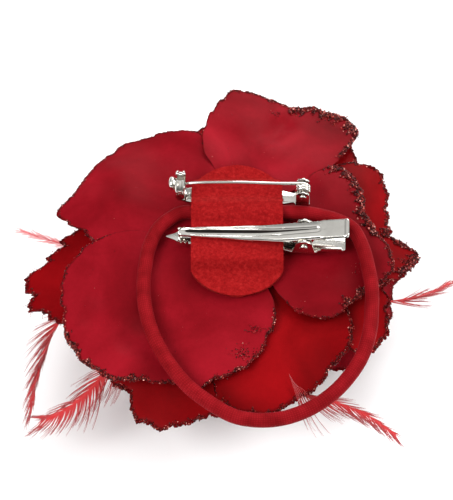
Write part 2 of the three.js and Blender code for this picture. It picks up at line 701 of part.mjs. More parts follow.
const BAR_HALF = BAR_WIDTH / 2;
const HINGE_EAR_INNER = BAR_HALF - HINGE_EAR_THICKNESS;
const RIVET_BORE = RIVET_RADIUS + FIT;
const ROTOR_RADIUS = CATCH_RADIUS - CATCH_WALL - FIT;
const WAY_HALF = PIN_WIRE / 2 + FIT; // half width of the way that the pin leaves by
const CATCH_RIGHT = -BAR_LEFT + CATCH_DEPTH;

function hingeEar() {
  const ear = new THREE.Shape();
  ear.moveTo(HINGE_X - HINGE_EAR_HALF, HARDWARE_Z);
  ear.lineTo(HINGE_X + HINGE_EAR_HALF, HARDWARE_Z);
  ear.absarc(HINGE_X, HINGE_Z, HINGE_EAR_HALF, 0, Math.PI, false);
  return ear;
}

function pinBar() {
  const plan = mirrored([
    [-BAR_LEFT, BAR_HALF - 1],
    [-BAR_LEFT + 1, BAR_HALF],
    [BAR_RIGHT - 0.6, BAR_HALF],
    [BAR_RIGHT, BAR_HALF - 0.6],
  ]);
  const body = join(
    slab(plan, HARDWARE_Z, METAL_TOP),
    sideSlab(hingeEar(), HINGE_EAR_INNER, BAR_HALF),
    sideSlab(hingeEar(), -BAR_HALF, -HINGE_EAR_INNER),
    rodAlongX(CATCH_RADIUS, -BAR_LEFT, CATCH_RIGHT, CATCH_Z, 28),
    box(-BAR_LEFT, CATCH_RIGHT, -CATCH_NECK_HALF, CATCH_NECK_HALF, HARDWARE_Z, CATCH_Z - CATCH_RADIUS + 0.8),
  );
  const holes = [-9, 0, 9].map((x) => rodAlongZ(BAR_HOLE_RADIUS, x, 0, HARDWARE_Z - 1, METAL_TOP + 1, 16));
  return cut(
    body,
    rodAlongX(CATCH_RADIUS - CATCH_WALL, -BAR_LEFT - 1, CATCH_RIGHT + 1, CATCH_Z, 28),
    box(-BAR_LEFT - 1, CATCH_RIGHT + 1, -WAY_HALF, WAY_HALF, CATCH_Z, CATCH_Z + CATCH_RADIUS + 1),
    rodAlongY(RIVET_BORE, -BAR_HALF - 1, BAR_HALF + 1, HINGE_X, HINGE_Z, 20),
    ...holes,
  );
}
piece("pin_bar", pinBar(), nickel, brooch);

const rivet = headedRod(RIVET_RADIUS, RIVET_HEAD_RADIUS, RIVET_HEAD_THICKNESS, BAR_HALF, HINGE_X, HINGE_Z);
piece("pin_rivet", rivet, nickel, brooch);

// The pin: wire coiled round the rivet, leaving over the top of the coil and bowing to the catch.
function pinWire() {
  const half = HINGE_EAR_INNER - FIT;
  const start = HINGE_Z + COIL_RADIUS - PIN_WIRE / 2;
  const tip = -BAR_LEFT + FIT;
  const route = [
    [HINGE_X, 0, start],
    [HINGE_X * 0.5, 0, start + PIN_BOW * 0.7],
    [-1, 0, (start + CATCH_Z) / 2 + PIN_BOW],
    [tip * 0.55, 0, CATCH_Z * 0.6 + start * 0.4 + PIN_BOW * 0.55],
    [tip, 0, CATCH_Z],
  ];
  const coil = cut(
    rodAlongY(COIL_RADIUS, -half, half, HINGE_X, HINGE_Z, 24),
    rodAlongY(RIVET_BORE, -half - 1, half + 1, HINGE_X, HINGE_Z, 20),
  );
  return join(coil, tube(route, PIN_WIRE, 18, 8));
}
piece("pin_wire", pinWire(), nickel, brooch);

// The catch's rotor: its slot lets the pin in when it points up and holds it when it is turned.
function catchRotor() {
  const knobRight = -BAR_LEFT - 0.5;
  const body = join(
    rodAlongX(ROTOR_RADIUS, -BAR_LEFT, CATCH_RIGHT, CATCH_Z, 24),
    rodAlongX(KNOB_RADIUS, knobRight - KNOB_DEPTH, knobRight, CATCH_Z, 20),
    rodAlongX(KNOB_RADIUS - 0.5, knobRight - 0.3, -BAR_LEFT + 0.2, CATCH_Z, 20),
  );
  const slotLeft = -BAR_LEFT;
  return cut(
    body,
    box(slotLeft, CATCH_RIGHT + 1, -WAY_HALF, WAY_HALF, CATCH_Z, CATCH_Z + CATCH_RADIUS),
    rodAlongX(WAY_HALF, slotLeft, CATCH_RIGHT + 1, CATCH_Z, 16),
  );
}
piece("catch_rotor", catchRotor(), nickel, brooch);

export default flower;
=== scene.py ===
# %% [markdown]
# # A fabric flower hair clip, lying on its face with its back up
# The flower carries three fastenings: an elastic hair tie, a toothed clip and a brooch pin.
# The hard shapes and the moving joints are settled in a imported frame. This lesson loads that
# frame and dresses it: satin petals with a glitter crust, felt, knitted elastic, feathers and
# nickel-plated steel. Everything is drawn in millimetres and made metres at the last moment.

# %% Load the frame
import math
import random

import bmesh
import bpy
from mathutils import Euler, Matrix, Vector, noise


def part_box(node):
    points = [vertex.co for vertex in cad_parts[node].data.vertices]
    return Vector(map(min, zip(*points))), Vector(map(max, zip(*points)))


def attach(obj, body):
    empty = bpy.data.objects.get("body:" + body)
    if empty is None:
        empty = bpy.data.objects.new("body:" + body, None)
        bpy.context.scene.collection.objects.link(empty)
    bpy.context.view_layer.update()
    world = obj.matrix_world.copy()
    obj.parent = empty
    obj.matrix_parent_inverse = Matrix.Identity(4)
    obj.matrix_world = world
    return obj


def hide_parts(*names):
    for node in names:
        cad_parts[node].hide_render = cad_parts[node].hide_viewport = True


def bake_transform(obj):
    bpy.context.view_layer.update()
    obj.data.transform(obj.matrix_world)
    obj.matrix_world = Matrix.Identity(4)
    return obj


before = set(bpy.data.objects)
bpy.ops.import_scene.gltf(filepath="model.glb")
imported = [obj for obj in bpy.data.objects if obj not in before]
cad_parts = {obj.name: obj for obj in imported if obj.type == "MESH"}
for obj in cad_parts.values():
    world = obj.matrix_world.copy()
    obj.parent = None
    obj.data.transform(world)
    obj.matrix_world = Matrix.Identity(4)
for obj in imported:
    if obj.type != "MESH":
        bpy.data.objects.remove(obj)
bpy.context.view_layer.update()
MM = 0.001

# %% [markdown]
# ## Camera
# The clip is seen from a little above its lower edge, through a long lens, so that its back
# shows almost flat. A camera looks along its own -Z, so tipping it up from straight down by
# the rest of a right angle points it at the pad.

# %% Camera
VIEW_ELEVATION = math.radians(58)
VIEW_DISTANCE = 0.6
looked_at = Vector((-2.8, -6.9, 36)) * MM
backwards = Vector((0, -math.cos(VIEW_ELEVATION), math.sin(VIEW_ELEVATION)))
camera = bpy.data.objects.new("camera", bpy.data.cameras.new("camera"))
camera.data.sensor_width = 36
camera.data.lens = 163
camera.location = looked_at + backwards * VIEW_DISTANCE
camera.rotation_euler = (math.pi / 2 - VIEW_ELEVATION, 0, 0)
bpy.context.scene.collection.objects.link(camera)
bpy.context.scene.camera = camera
print("camera", VIEW_DISTANCE, "m from", [round(x, 4) for x in looked_at])

# %% [markdown]
# ## Small helpers
# A route through a few listed points is smoothed with a Catmull-Rom curve. A finished mesh
# is scaled to metres, gets its finish, and rides on a body of the frame. A soft step that
# starts and ends level is used wherever one shape runs into another. Wires are curves with a
# round bevel, turned into a mesh at once: quick to make in thousands, and each gets a UV map
# that runs along it.

# %% Helpers
def soft_step(value, low, high):
    share = min(1.0, max(0.0, (value - low) / (high - low)))
    return share * share * (3 - 2 * share)


def on_circle(turn, r, height=0.0):
    """The place at a turn in degrees and a distance from the axis."""
    turn = math.radians(turn)
    return Vector((r * math.cos(turn), r * math.sin(turn), height))


def smooth_route(points, steps):
    places = [Vector(p) for p in points]
    places = [2 * places[0] - places[1], *places, 2 * places[-1] - places[-2]]
    route = []
    for a, b, c, d in zip(places, places[1:], places[2:], places[3:]):
        for k in range(steps):
            t = k / steps
            route.append(
                b + (c - a) * t / 2 + (a - 2.5 * b + 2 * c - d / 2) * t**2
                + (1.5 * b - a / 2 - 1.5 * c + d / 2) * t**3
            )
    return [*route, places[-2]]


def between(stations, where):
    """The value at a place, from a list of (place, value) stations."""
    if where <= stations[0][0]:
        return stations[0][1]
    for (a, low), (b, high) in zip(stations, stations[1:]):
        if where <= b:
            return low + (high - low) * soft_step(where, a, b)
    return stations[-1][1]


def make_piece(name, mesh, finish, body="root", stands_for=(), smooth=True):
    if isinstance(mesh, bmesh.types.BMesh):
        sketch, mesh = mesh, bpy.data.meshes.new(name)
        bmesh.ops.transform(sketch, matrix=Matrix.Scale(MM, 4), verts=sketch.verts)
        sketch.to_mesh(mesh)
        sketch.free()
    mesh.materials.clear()
    mesh.materials.append(finish)
    for face in mesh.polygons:
        face.use_smooth = smooth
    piece = bpy.data.objects.new(name, mesh)
    bpy.context.scene.collection.objects.link(piece)
    if body:
        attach(piece, body)
    if stands_for:
        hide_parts(*stands_for)
    print(name, len(mesh.polygons), "faces")
    return piece


def thicken(piece, thickness, offset=-1.0):
    wall = piece.modifiers.new("wall", "SOLIDIFY")
    wall.thickness, wall.offset = thickness * MM, offset


def round_edges(piece, width, segments, angle=30):
    cut = piece.modifiers.new("cut_edge", "BEVEL")
    cut.width, cut.segments = width * MM, segments
    cut.limit_method, cut.angle_limit = "ANGLE", math.radians(angle)


def wire_mesh(name, lines, thickness, ring=2):
    """Round wires in millimetres, each a list of (place, share of the thickness)."""
    curve = bpy.data.curves.new(name, "CURVE")
    curve.dimensions = "3D"
    curve.bevel_depth = thickness / 2 * MM
    curve.bevel_resolution = ring
    curve.use_fill_caps = True
    for line in lines:
        spline = curve.splines.new("POLY")
        spline.points.add(len(line) - 1)
        for point, (place, share) in zip(spline.points, line):
            point.co = (*(Vector(place) * MM), 1)
            point.radius = share
    holder = bpy.data.objects.new(name, curve)
    bpy.context.scene.collection.objects.link(holder)
    bpy.context.view_layer.update()
    swept = holder.evaluated_get(bpy.context.evaluated_depsgraph_get())
    mesh = bpy.data.meshes.new_from_object(swept)
    bpy.data.objects.remove(holder)
    return mesh


# %% [markdown]
# ## Building finishes from nodes
# Every finish starts from the Principled shader. Plain numbers go straight into its sockets,
# and only what varies over the surface comes from nodes. The little helper makes a node and
# wires whatever socket it is handed, which keeps each finish a few readable lines. A cloud is
# noise on Object coordinates, because these pieces have no UV map of their own.

# %% Finish helpers
def start_finish(name, colour, roughness, **sockets):
    finish = bpy.data.materials.new(name)
    finish.use_nodes = True
    shader = finish.node_tree.nodes["Principled BSDF"]
    shader.inputs["Base Color"].default_value = (*colour, 1)
    shader.inputs["Roughness"].default_value = roughness
    for socket, value in sockets.items():
        shader.inputs[socket.replace("_", " ")].default_value = value
    finish.diffuse_color = (*colour, 1)
    return finish


def add(finish, kind, settings=(), **sockets):
    node = finish.node_tree.nodes.new("ShaderNode" + kind)
    for name, value in dict(settings).items():
        setattr(node, name, value)
    for name, value in sockets.items():
        socket = node.inputs[int(name[1:]) if name[0] == "_" else name.replace("_", " ")]
        if isinstance(value, bpy.types.NodeSocket):
            finish.node_tree.links.new(value, socket)
        else:
            socket.default_value = value
    return node


def feed(finish, socket, value):
    finish.node_tree.links.new(value, finish.node_tree.nodes["Principled BSDF"].inputs[socket])


def where(finish, kind="Object"):
    return add(finish, "TexCoord").outputs[kind]


def ramp(finish, share, *stops):
    node = add(finish, "ValToRGB", Fac=share)
    while len(node.color_ramp.elements) < len(stops):
        node.color_ramp.elements.new(0.5)
    for element, (place, colour) in zip(node.color_ramp.elements, stops):
        element.position = place
        element.color = (*colour, 1)
    return node.outputs["Color"]


def paint(finish, share, *stops):
    feed(finish, "Base Color", ramp(finish, share, *stops))


def cloud(finish, scale, detail, **sockets):
    noisy = add(finish, "TexNoise", Vector=where(finish), Scale=scale, Detail=detail, **sockets)
    return noisy.outputs["Fac"]


def times(finish, first, second, clamped=False):
    settings = {"operation": "MULTIPLY", "use_clamp": clamped}
    return add(finish, "Math", settings, _0=first, _1=second).outputs[0]


def times_plus(finish, first, factor, second):
    settings = {"operation": "MULTIPLY_ADD"}
    return add(finish, "Math", settings, _0=first, _1=factor, _2=second).outputs[0]


def emboss(finish, height, strength, distance):
    bump = add(finish, "Bump", Height=height, Strength=strength, Distance=distance * MM)
    feed(finish, "Normal", bump.outputs["Normal"])

# %% [markdown]
# ## Elastic hair tie
# The tie is a knitted tube over rubber, 3.8 mm thick. It leaves the felt on the right, swings
# round below the flower and goes back under the felt on the left, where its ends are bonded.
# Its route is a short list of points. A swept wire gives the tube and its own UV map, so the
# knit can follow the length however it bends.

# %% Hair tie
ELASTIC_THICKNESS = 3.8
ELASTIC_HEIGHT = 36.2
STITCH_LENGTH = 1.1
STITCHES_ROUND = 22
tie_points = [
    (10.9, 4.9, 0), (12.6, 4.9, 0), (14.4, 4.9, 0), (18, 4.7, -0.05), (22.6, 3.9, -0.2),
    (27, 2.5, -0.4), (30.9, -0.1, -0.6), (33.3, -5.4, -0.9), (34.6, -11.4, -1.2),
    (35.4, -18, -1.5), (35.2, -24, -1.8), (34.6, -30.1, -2.1), (32.6, -37.1, -2.3),
    (29.3, -43, -2.5), (24.5, -48.6, -2.7), (18.5, -53, -2.8), (12.1, -55.6, -2.9),
    (5.6, -56.3, -2.9), (-0.9, -55.1, -2.9), (-7, -51.4, -2.8), (-12.9, -46.4, -2.5),
    (-17.7, -40, -2.3), (-21.4, -33, -2), (-23.6, -26.2, -1.7), (-24.6, -19, -1.4),
    (-24.3, -11.6, -1.1), (-23.2, -5.2, -0.7), (-20.6, 0.4, -0.3), (-16.4, 4, -0.1),
    (-13.6, 4.9, 0), (-10.9, 4.9, 0),
]
tie_route = smooth_route([(x, y, ELASTIC_HEIGHT + z) for x, y, z in tie_points], 12)
tie_length = sum((b - a).length for a, b in zip(tie_route, tie_route[1:]))
print("hair tie length", round(tie_length, 1), "mm")


def knitted_finish():
    finish = start_finish("knitted_elastic", (0.2, 0.004, 0.007), 0.75, Sheen_Weight=0.16,
                          Sheen_Roughness=0.25, Sheen_Tint=(1, 0.2, 0.26, 1),
                          Specular_IOR_Level=0.05)
    stitch_grid = (tie_length / STITCH_LENGTH, STITCHES_ROUND, 1)
    along = add(finish, "Mapping", Vector=where(finish, "UV"), Scale=stitch_grid).outputs[0]
    ribs = add(finish, "TexWave", {"bands_direction": "Y"}, Vector=along, Scale=0.32,
               Distortion=0.4, Detail=1.0)
    loops = add(finish, "TexWave", {"bands_direction": "X"}, Vector=along, Scale=0.64,
                Distortion=1.2, Detail=1.0)
    stitches = times(finish, ribs.outputs["Fac"], loops.outputs["Fac"])
    shade = times_plus(finish, stitches, 0.35, cloud(finish, 220, 4))
    paint(finish, shade, (0.3, (0.13, 0.0015, 0.003)), (0.62, (0.2, 0.003, 0.006)),
          (0.95, (0.29, 0.008, 0.013)))
    emboss(finish, stitches, 0.5, 0.12)
    return finish


knit = knitted_finish()
hair_tie = make_piece(
    "knitted_hair_tie", wire_mesh("hair_tie", [[(p, 1) for p in tie_route]], ELASTIC_THICKNESS, 9),
    knit, stands_for=["hair_tie"],
)

# %% [markdown]
# Under the felt the two cut ends are melted together. The join is a short length of the same
# cord with a pinched seam and a small collar of melted fibre, so it is its own piece.

# %% Bonded ends
JOIN_LENGTH, JOIN_STEPS, JOIN_Y = 21.2, 42, 4.9
join_line = []
for step in range(JOIN_STEPS + 1):
    x = -10.6 + step * JOIN_LENGTH / JOIN_STEPS
    seam = math.exp(-((x / 0.5) ** 2))
    collar = math.exp(-(((abs(x) - 1.1) / 0.5) ** 2))
    join_line.append(((x, JOIN_Y, ELASTIC_HEIGHT), 0.985 - 0.16 * seam + 0.03 * collar))
elastic_join = make_piece(
    "bonded_tie_ends", wire_mesh("elastic_join", [join_line], ELASTIC_THICKNESS, 9),
    knit, stands_for=["elastic_join"],
)

# %% [markdown]
# ## Satin petal cloth
# The petals are heat-pressed satin: almost matt, with a faint pink bloom where the cloth turns
# away and darker reds in broad patches. A little sheen gives the bloom. Two sizes of cloud move
# the red; the broad one is partly uneven dye and partly painted shade of the folds. Each mesh
# carries a rim attribute, so the scorched edge can be darker than the rest.

# %% Petal finishes
def petal_finish(name, deep, middle, light):
    finish = start_finish(name, middle, 0.5, Sheen_Weight=0.06, Sheen_Roughness=0.4,
                          Sheen_Tint=(1, 0.1, 0.2, 1), Specular_IOR_Level=0.03)
    fine = cloud(finish, 900, 4, Roughness=0.7)
    # The broad cloud is partly uneven dye and partly painted shade: its dark patches stand in for
    # the shade of folds.
    dye_and_fold_shade = times_plus(finish, fine, 0.16, cloud(finish, 45, 3, Roughness=0.5, Distortion=0.6))
    cloth = ramp(finish, dye_and_fold_shade, (0.34, deep), (0.58, middle), (0.86, light))
    rim = add(finish, "Attribute", {"attribute_name": "rim"}).outputs["Fac"]
    scorched = times(finish, rim, cloud(finish, 1500, 3))
    edge = times(finish, scorched, 1.7, clamped=True)
    singe = add(finish, "Mix", {"data_type": "RGBA"}, _0=edge, _6=cloth, _7=(0.1, 0.004, 0.006, 1))
    feed(finish, "Base Color", singe.outputs[2])
    yarns = add(finish, "TexWave", {"bands_direction": "DIAGONAL"}, Vector=where(finish),
                Scale=700, Distortion=2.0, Detail=2.0)
    emboss(finish, times_plus(finish, yarns.outputs["Fac"], 0.35, fine), 0.22, 0.05)
    return finish


outer_satin = petal_finish(
    "outer_satin", (0.11, 0.0012, 0.003), (0.18, 0.0025, 0.0065), (0.29, 0.006, 0.014))
second_satin = petal_finish(
    "second_satin", (0.11, 0.0005, 0.001), (0.18, 0.0008, 0.002), (0.27, 0.002, 0.004))
inner_satin = petal_finish(
    "inner_satin", (0.09, 0.0005, 0.001), (0.16, 0.0008, 0.002), (0.24, 0.002, 0.004))

# %% [markdown]
# ## The shape of a petal sheet
# Each sheet is die-cut in one piece: whole in the middle, with slits that part it into lobes.
# A lobe is a flat grid bent into a fan. Inside the slit circle neighbouring lobes share their
# edge; outside it each lobe widens, so one side lies over its neighbour and the other under.
# A lobe's outline is a few (angle, reach) stations roughened with noise, because torn and
# singed satin is never smooth. Heights follow the frame's sheets: flat hanging ones at the
# back, deep cups in front.

# %% Petal shape
STEM_HOLE = 1.8
WIDENING = 9  # how far past the slit's end a lobe takes to reach its full width
LOWEST_RIM = 0.7  # no rim dips below the face that the flower lies on
CLOTH_THICK = 0.3
plain_lobe = {"ragged": 0.5, "ripples": (), "dents": (), "crumple": 0.35, "ceiling": 9, "curl": 0}


def hanging(fall):
    def bend(r, angle):
        depth = fall + 2.5 * math.cos(math.radians(angle - 110))
        return depth * (r / 50) ** 2, 2 * depth * r / 2500
    return bend


def cupped(depth, reach, power):
    def bend(r, angle):
        return depth * (r / reach) ** power, power * depth * (r / reach) ** (power - 1) / reach
    return bend


def lobe_surface(sheet, lobe):
    """A function from (across, along), each 0 to 1, to a place and its distance from the rim."""
    part = {**plain_lobe, **sheet, **lobe}
    rim, slit, top = part["rim"], part["slit"], part["top"]
    start, end = rim[0][0], rim[-1][0]
    middle_reach = between(rim, (start + end) / 2)
    inner_start, inner_end = start + part["fold_in"][0], end - part["fold_in"][1]

    def torn_reach(across, turn):
        reach = between(rim, turn)
        spot = on_circle(turn, 1) * reach
        tear = noise.noise(spot * 0.35 + Vector((0, 0, top))) * 1.6
        tear += noise.noise(spot * 1.3) * 0.8 + noise.noise(spot * 3.1) * 0.45
        rounded_side = (1 - abs(2 * across - 1) ** 9) ** 0.4
        return slit + (reach + tear * part["ragged"] - slit) * rounded_side

    def height_at(across, r, turn, out, spread):
        height = (part["lift"][0] * (1 - across) + part["lift"][1] * across) * spread
        for size, waves, phase in part["ripples"]:
            height += size * out**1.5 * math.sin(2 * math.pi * waves * across + phase)
        for at_turn, at_r, wide, size in part["dents"]:
            away = ((turn - at_turn) * math.pi / 180 * r) ** 2 + (r - at_r) ** 2
            height += size * math.exp(-away / wide**2)
        crease = noise.noise(on_circle(turn, r) * 0.11 + Vector((top, 0, 0)))
        height += part["crumple"] * crease * soft_step(r, 12, 26)
        return min(height, part["ceiling"])

    def surface(across, along):
        outer_turn = start + (end - start) * across
        inner_turn = inner_start + (inner_end - inner_start) * across
        reach = torn_reach(across, outer_turn)
        r = STEM_HOLE + (reach - STEM_HOLE) * along
        spread = soft_step(r, slit, slit + WIDENING)
        turn = inner_turn + (outer_turn - inner_turn) * spread
        out = max(0.0, (r - slit) / max(1.0, middle_reach - slit))
        drop, slope = part["bend"](r, turn)
        flat = on_circle(turn, r)
        outwards = flat.normalized()
        tilt = Vector((outwards.x * slope, outwards.y * slope, 1)).normalized()
        curl = part["curl"] * max(0.0, out - 0.55) ** 2
        place = flat + Vector((0, 0, top - drop)) + tilt * height_at(across, r, turn, out, spread)
        place += outwards * curl * 0.7 + Vector((0, 0, curl))
        place.z = max(place.z, LOWEST_RIM)
        side_room = r * math.radians(end - start) * min(across, 1 - across)
        return place, min(reach - r, side_room + 3 * (1 - spread))

    return surface


def petal_sheet(name, sheet, finish, columns, rows):
    sketch = bmesh.new()
    rim = sketch.verts.layers.float.new("rim")
    for lobe in sheet["lobes"]:
        surface = lobe_surface(sheet, lobe)
        grid = bmesh.ops.create_grid(sketch, x_segments=columns, y_segments=rows, size=1)
        for vert in grid["verts"]:
            across = (1 - math.cos(math.pi * (vert.co.x + 1) / 2)) / 2
            across = 0.35 * (vert.co.x + 1) / 2 + 0.65 * across
            along = ((vert.co.y + 1) / 2) ** 0.8
            vert.co, room = surface(across, along)
            vert[rim] = 1 - soft_step(room, 0.15, 1.0)
    bmesh.ops.remove_doubles(sketch, verts=sketch.verts, dist=0.02)
    bmesh.ops.recalc_face_normals(sketch, faces=sketch.faces)
    area = sum(face.calc_area() for face in sketch.faces)
    piece = make_piece(name + "_satin", sketch, finish, stands_for=[name])
    thicken(piece, CLOTH_THICK, 0)


# %% [markdown]
# ## The two sheets of the back
# The rearmost sheet has four lobes. The right lobe lies over the top one and the lower left
# over the upper left, and two slits stay open. The second sheet is larger and shows past it as
# a pointed tip on the right, two bright red lobes below and a torn piece on the left.

# %% Back petals
back_sheet = {
    "top": 33.75, "slit": 21, "bend": hanging(5.5), "fold_in": (3, 3),
    "lobes": [
        {"rim": [(40, 33), (43, 43), (48, 51.8), (56, 53.9), (64, 53.2), (69, 50.6), (72, 49.2),
                 (76, 50.2), (85, 51.2), (91, 51.8), (95, 48), (99, 43.6), (104, 39.5), (109, 34)],
         "lift": (-0.5, 0.4), "ripples": [(1.3, 1.1, 2.2)], "fold_in": (3, 4),
         "dents": [(70, 29, 5, 1.0), (45, 31, 6, 0.7), (96, 33, 6, -1.0), (72, 42, 3.5, -1.6),
                   (73, 36, 3, -0.8)]},
        {"rim": [(101, 37), (108, 41), (120, 44), (130, 46.4), (140, 46.4), (150, 46.6),
                 (160, 46.8), (169, 50), (172, 46.2), (176, 41.2), (183, 40.6), (187, 38)],
         "lift": (-0.3, -0.5), "ripples": [(-1.2, 0.9, 0.4)], "fold_in": (3, 7),
         "dents": [(162, 33, 8, 2.0), (125, 36, 9, -1.6), (146, 40, 5, 0.9)]},
        {"rim": [(175, 34), (179, 40.5), (184, 44), (193, 48), (204, 50.3), (213, 53.3),
                 (221, 54.5), (231, 53.6), (241, 49.3), (249, 47.2), (257, 47.2), (263, 43.5),
                 (272, 40.5), (279, 37), (286, 32), (296, 27)],
         "lift": (0.75, 0), "ripples": [(-0.8, 1.4, 1.0)], "ceiling": 0.45, "fold_in": (3, 1),
         "dents": [(228, 42, 5, -1.9), (212, 45, 5, -1.2), (240, 36, 6, -1.5), (196, 42, 8, 0.4),
                   (275, 33, 6, -0.9), (252, 30, 4, -0.6)]},
        {"rim": [(299, 25), (304, 32), (313, 35.2), (322, 36.3), (331, 37.6), (339, 41.3),
                 (347, 42.5), (354, 41.2), (363, 36.6), (372, 35.4), (386, 37.2), (393, 37.8),
                 (401, 38.6), (406, 31)],
         "lift": (0, 0.9), "ripples": [(0.5, 1.2, 3.6)], "ceiling": 0.75, "fold_in": (1, 6),
         "dents": [(345, 30, 7, -0.6), (318, 31, 6, 0.4)]},
    ],
}
second_sheet = {
    "top": 32.6, "slit": 24, "bend": hanging(9), "lift": (0.3, -0.3), "fold_in": (4, 4),
    "lobes": [
        {"rim": [(-26, 38), (-18, 42.5), (-9, 46.6), (-4, 48.4), (-1, 49.5), (1, 46), (5, 41.8),
                 (14, 42.2), (24, 44.4), (33, 46.4), (40, 44), (46, 38)],
         "ripples": [(0.9, 1.3, 1.0)], "lift": (0.6, 0.2), "ragged": 0.8},
        {"rim": [(35, 41), (42, 46), (50, 47), (75, 46), (100, 43), (115, 39)],
         "ripples": [(0.8, 2, 0)]},
        {"rim": [(100, 38), (118, 41), (140, 42), (158, 40), (168, 36)],
         "ripples": [(0.8, 2, 2)]},
        {"rim": [(158, 37), (168, 42), (177, 47), (182, 51.5), (187, 57.5), (191, 56.5),
                 (195, 57.2), (202, 54.2), (210, 50), (220, 46), (228, 40)],
         "ripples": [(0.9, 1.6, 0.5)], "ragged": 1.7, "lift": (0.2, -0.4)},
        {"rim": [(220, 43), (227, 50), (233, 52.2), (237, 52), (240, 54.8), (243, 57.4),
                 (248, 57.6), (254, 55.2), (260, 53), (266, 50.6), (271, 44)],
         "ripples": [(1.0, 1.2, 2.2)], "lift": (0.4, -0.5), "ragged": 0.8},
        {"rim": [(258, 42), (264, 49), (273, 51), (281, 51.3), (290, 49.3), (298, 47.2),
                 (306, 44.6), (313, 43), (319, 40), (324, 37.4), (328, 33)],
         "ripples": [(0.8, 1.6, 4.0)], "lift": (0.5, 0.5), "ragged": 0.7},
        {"rim": [(309, 38), (315, 46), (321, 48.5), (328, 47.6), (334, 44.5), (340, 42.2),
                 (345, 38)],
         "ripples": [(1.0, 1.2, 2.0)], "lift": (-1.0, -0.4), "ragged": 0.8},
    ],
}
petal_sheet("petals_1_back", back_sheet, outer_satin, 150, 38)
petal_sheet("petals_2", second_sheet, second_satin, 96, 30)

# %% [markdown]
# ## The sheets of the front
# Towards the front the sheets are smaller and more tightly cupped, and their rims are waved
# and rolled outwards. They differ only in a few numbers, so one recipe makes them: even lobes,
# each a little different in reach, with ripples that grow towards the rim.

# %% Front petals
def cup_sheet(top, count, first_turn, reach, slit, rim_height, power, waves, size, curl, seed):
    chance = random.Random(seed)
    span = 360 / count
    lobes = []
    for k in range(count):
        start = first_turn + k * span - 9
        end = start + span + 18
        tall = reach * chance.uniform(0.95, 1.02)
        middle = (start + end) / 2
        lobes.append({
            "rim": [(start, tall * 0.8), (start + span * 0.2, tall * 0.96), (middle, tall),
                    (end - span * 0.2, tall * 0.97), (end, tall * 0.8)],
            "ripples": [(size * chance.uniform(0.8, 1.2), waves, chance.uniform(0, 6)),
                        (size * 0.45, waves * 2.3, chance.uniform(0, 6))],
            "ragged": 0.55,
        })
    return {"top": top, "slit": slit, "bend": cupped(top - rim_height, reach, power),
            "fold_in": (9, 9), "lift": (0.9, -0.9), "curl": curl, "crumple": 0.8, "lobes": lobes}


third_sheet = cup_sheet(31.4, 5, 90, 43, 18, 12.4, 2.2, 2.0, 1.3, 9, 3)
fourth_sheet = cup_sheet(30.25, 5, 38, 34, 13, 4.6, 2.2, 1.8, 1.2, 7, 4)
fifth_sheet = cup_sheet(29.1, 4, 45, 25, 10, 0.9, 2.6, 1.6, 1.0, 4, 5)
sixth_sheet = cup_sheet(27.95, 3, 0, 15.5, 7.5, 2.6, 2.6, 1.2, 0.7, 2, 6)
petal_sheet("petals_3", third_sheet, outer_satin, 84, 34)
petal_sheet("petals_4", fourth_sheet, inner_satin, 72, 30)
petal_sheet("petals_5", fifth_sheet, inner_satin, 72, 28)
petal_sheet("petals_6_bud_wrap", sixth_sheet, inner_satin, 64, 24)

# %% [markdown]
# ## Glitter crust
# Coarse dark red glitter is glued along the singed rims. Each grain is a tiny squashed ball of
# twenty faces, thrown on by a seeded dice close to the rim, thicker where the glue was thick.
# Every grain carries its own random colour from near black to red, and the brightest few are
# painted pale pink as painted glints.

# %% Glitter
def glitter_finish():
    finish = start_finish("glitter_grains", (0.14, 0.01, 0.01), 0.3, Metallic=0.4,
                          Specular_IOR_Level=0.3)
    shade = add(finish, "Attribute", {"attribute_name": "shade"}).outputs["Fac"]
    # Painted glint: the pale pink top of the ramp makes a few grains look as if they flash.
    paint(finish, shade, (0.0, (0.012, 0.001, 0.001)), (0.45, (0.06, 0.002, 0.002)),
          (0.82, (0.22, 0.006, 0.006)), (0.93, (0.42, 0.05, 0.035)), (1.0, (0.9, 0.4, 0.34)))
    emboss(finish, cloud(finish, 2500, 2), 0.5, 0.08)
    return finish


glitter = glitter_finish()
TRAY_SIZE = 60


def scatter_grains(spots, chance):
    """Grains are made in small trays, because an operator slows down as its mesh grows."""
    crust = bmesh.new()
    for first in range(0, len(spots), TRAY_SIZE):
        tray, tray_mesh = bmesh.new(), bpy.data.meshes.new("tray")
        shade = tray.verts.layers.float.new("shade")
        for spot, size in spots[first : first + TRAY_SIZE]:
            turned = Euler([chance.uniform(0, 6.28) for _ in range(3)]).to_matrix().to_4x4()
            squashed = Matrix.Diagonal((1, chance.uniform(0.6, 1), chance.uniform(0.4, 0.9), 1))
            place = Matrix.Translation(spot) @ turned @ squashed
            grain = bmesh.ops.create_icosphere(tray, subdivisions=1, radius=size, matrix=place)
            # A random value per grain: a red colour, and near the top of its range a painted glint.
            glint_and_tone = chance.random()
            for vert in grain["verts"]:
                vert[shade] = glint_and_tone
        tray.to_mesh(tray_mesh)
        tray.free()
        crust.from_mesh(tray_mesh, face_normals=False)
        bpy.data.meshes.remove(tray_mesh)
    return crust


UNDER_SHARE = 0.25  # how many grains land on the face side of a rim
THICK_CRUST = 1.2  # past this width the grains are larger and lie on each other


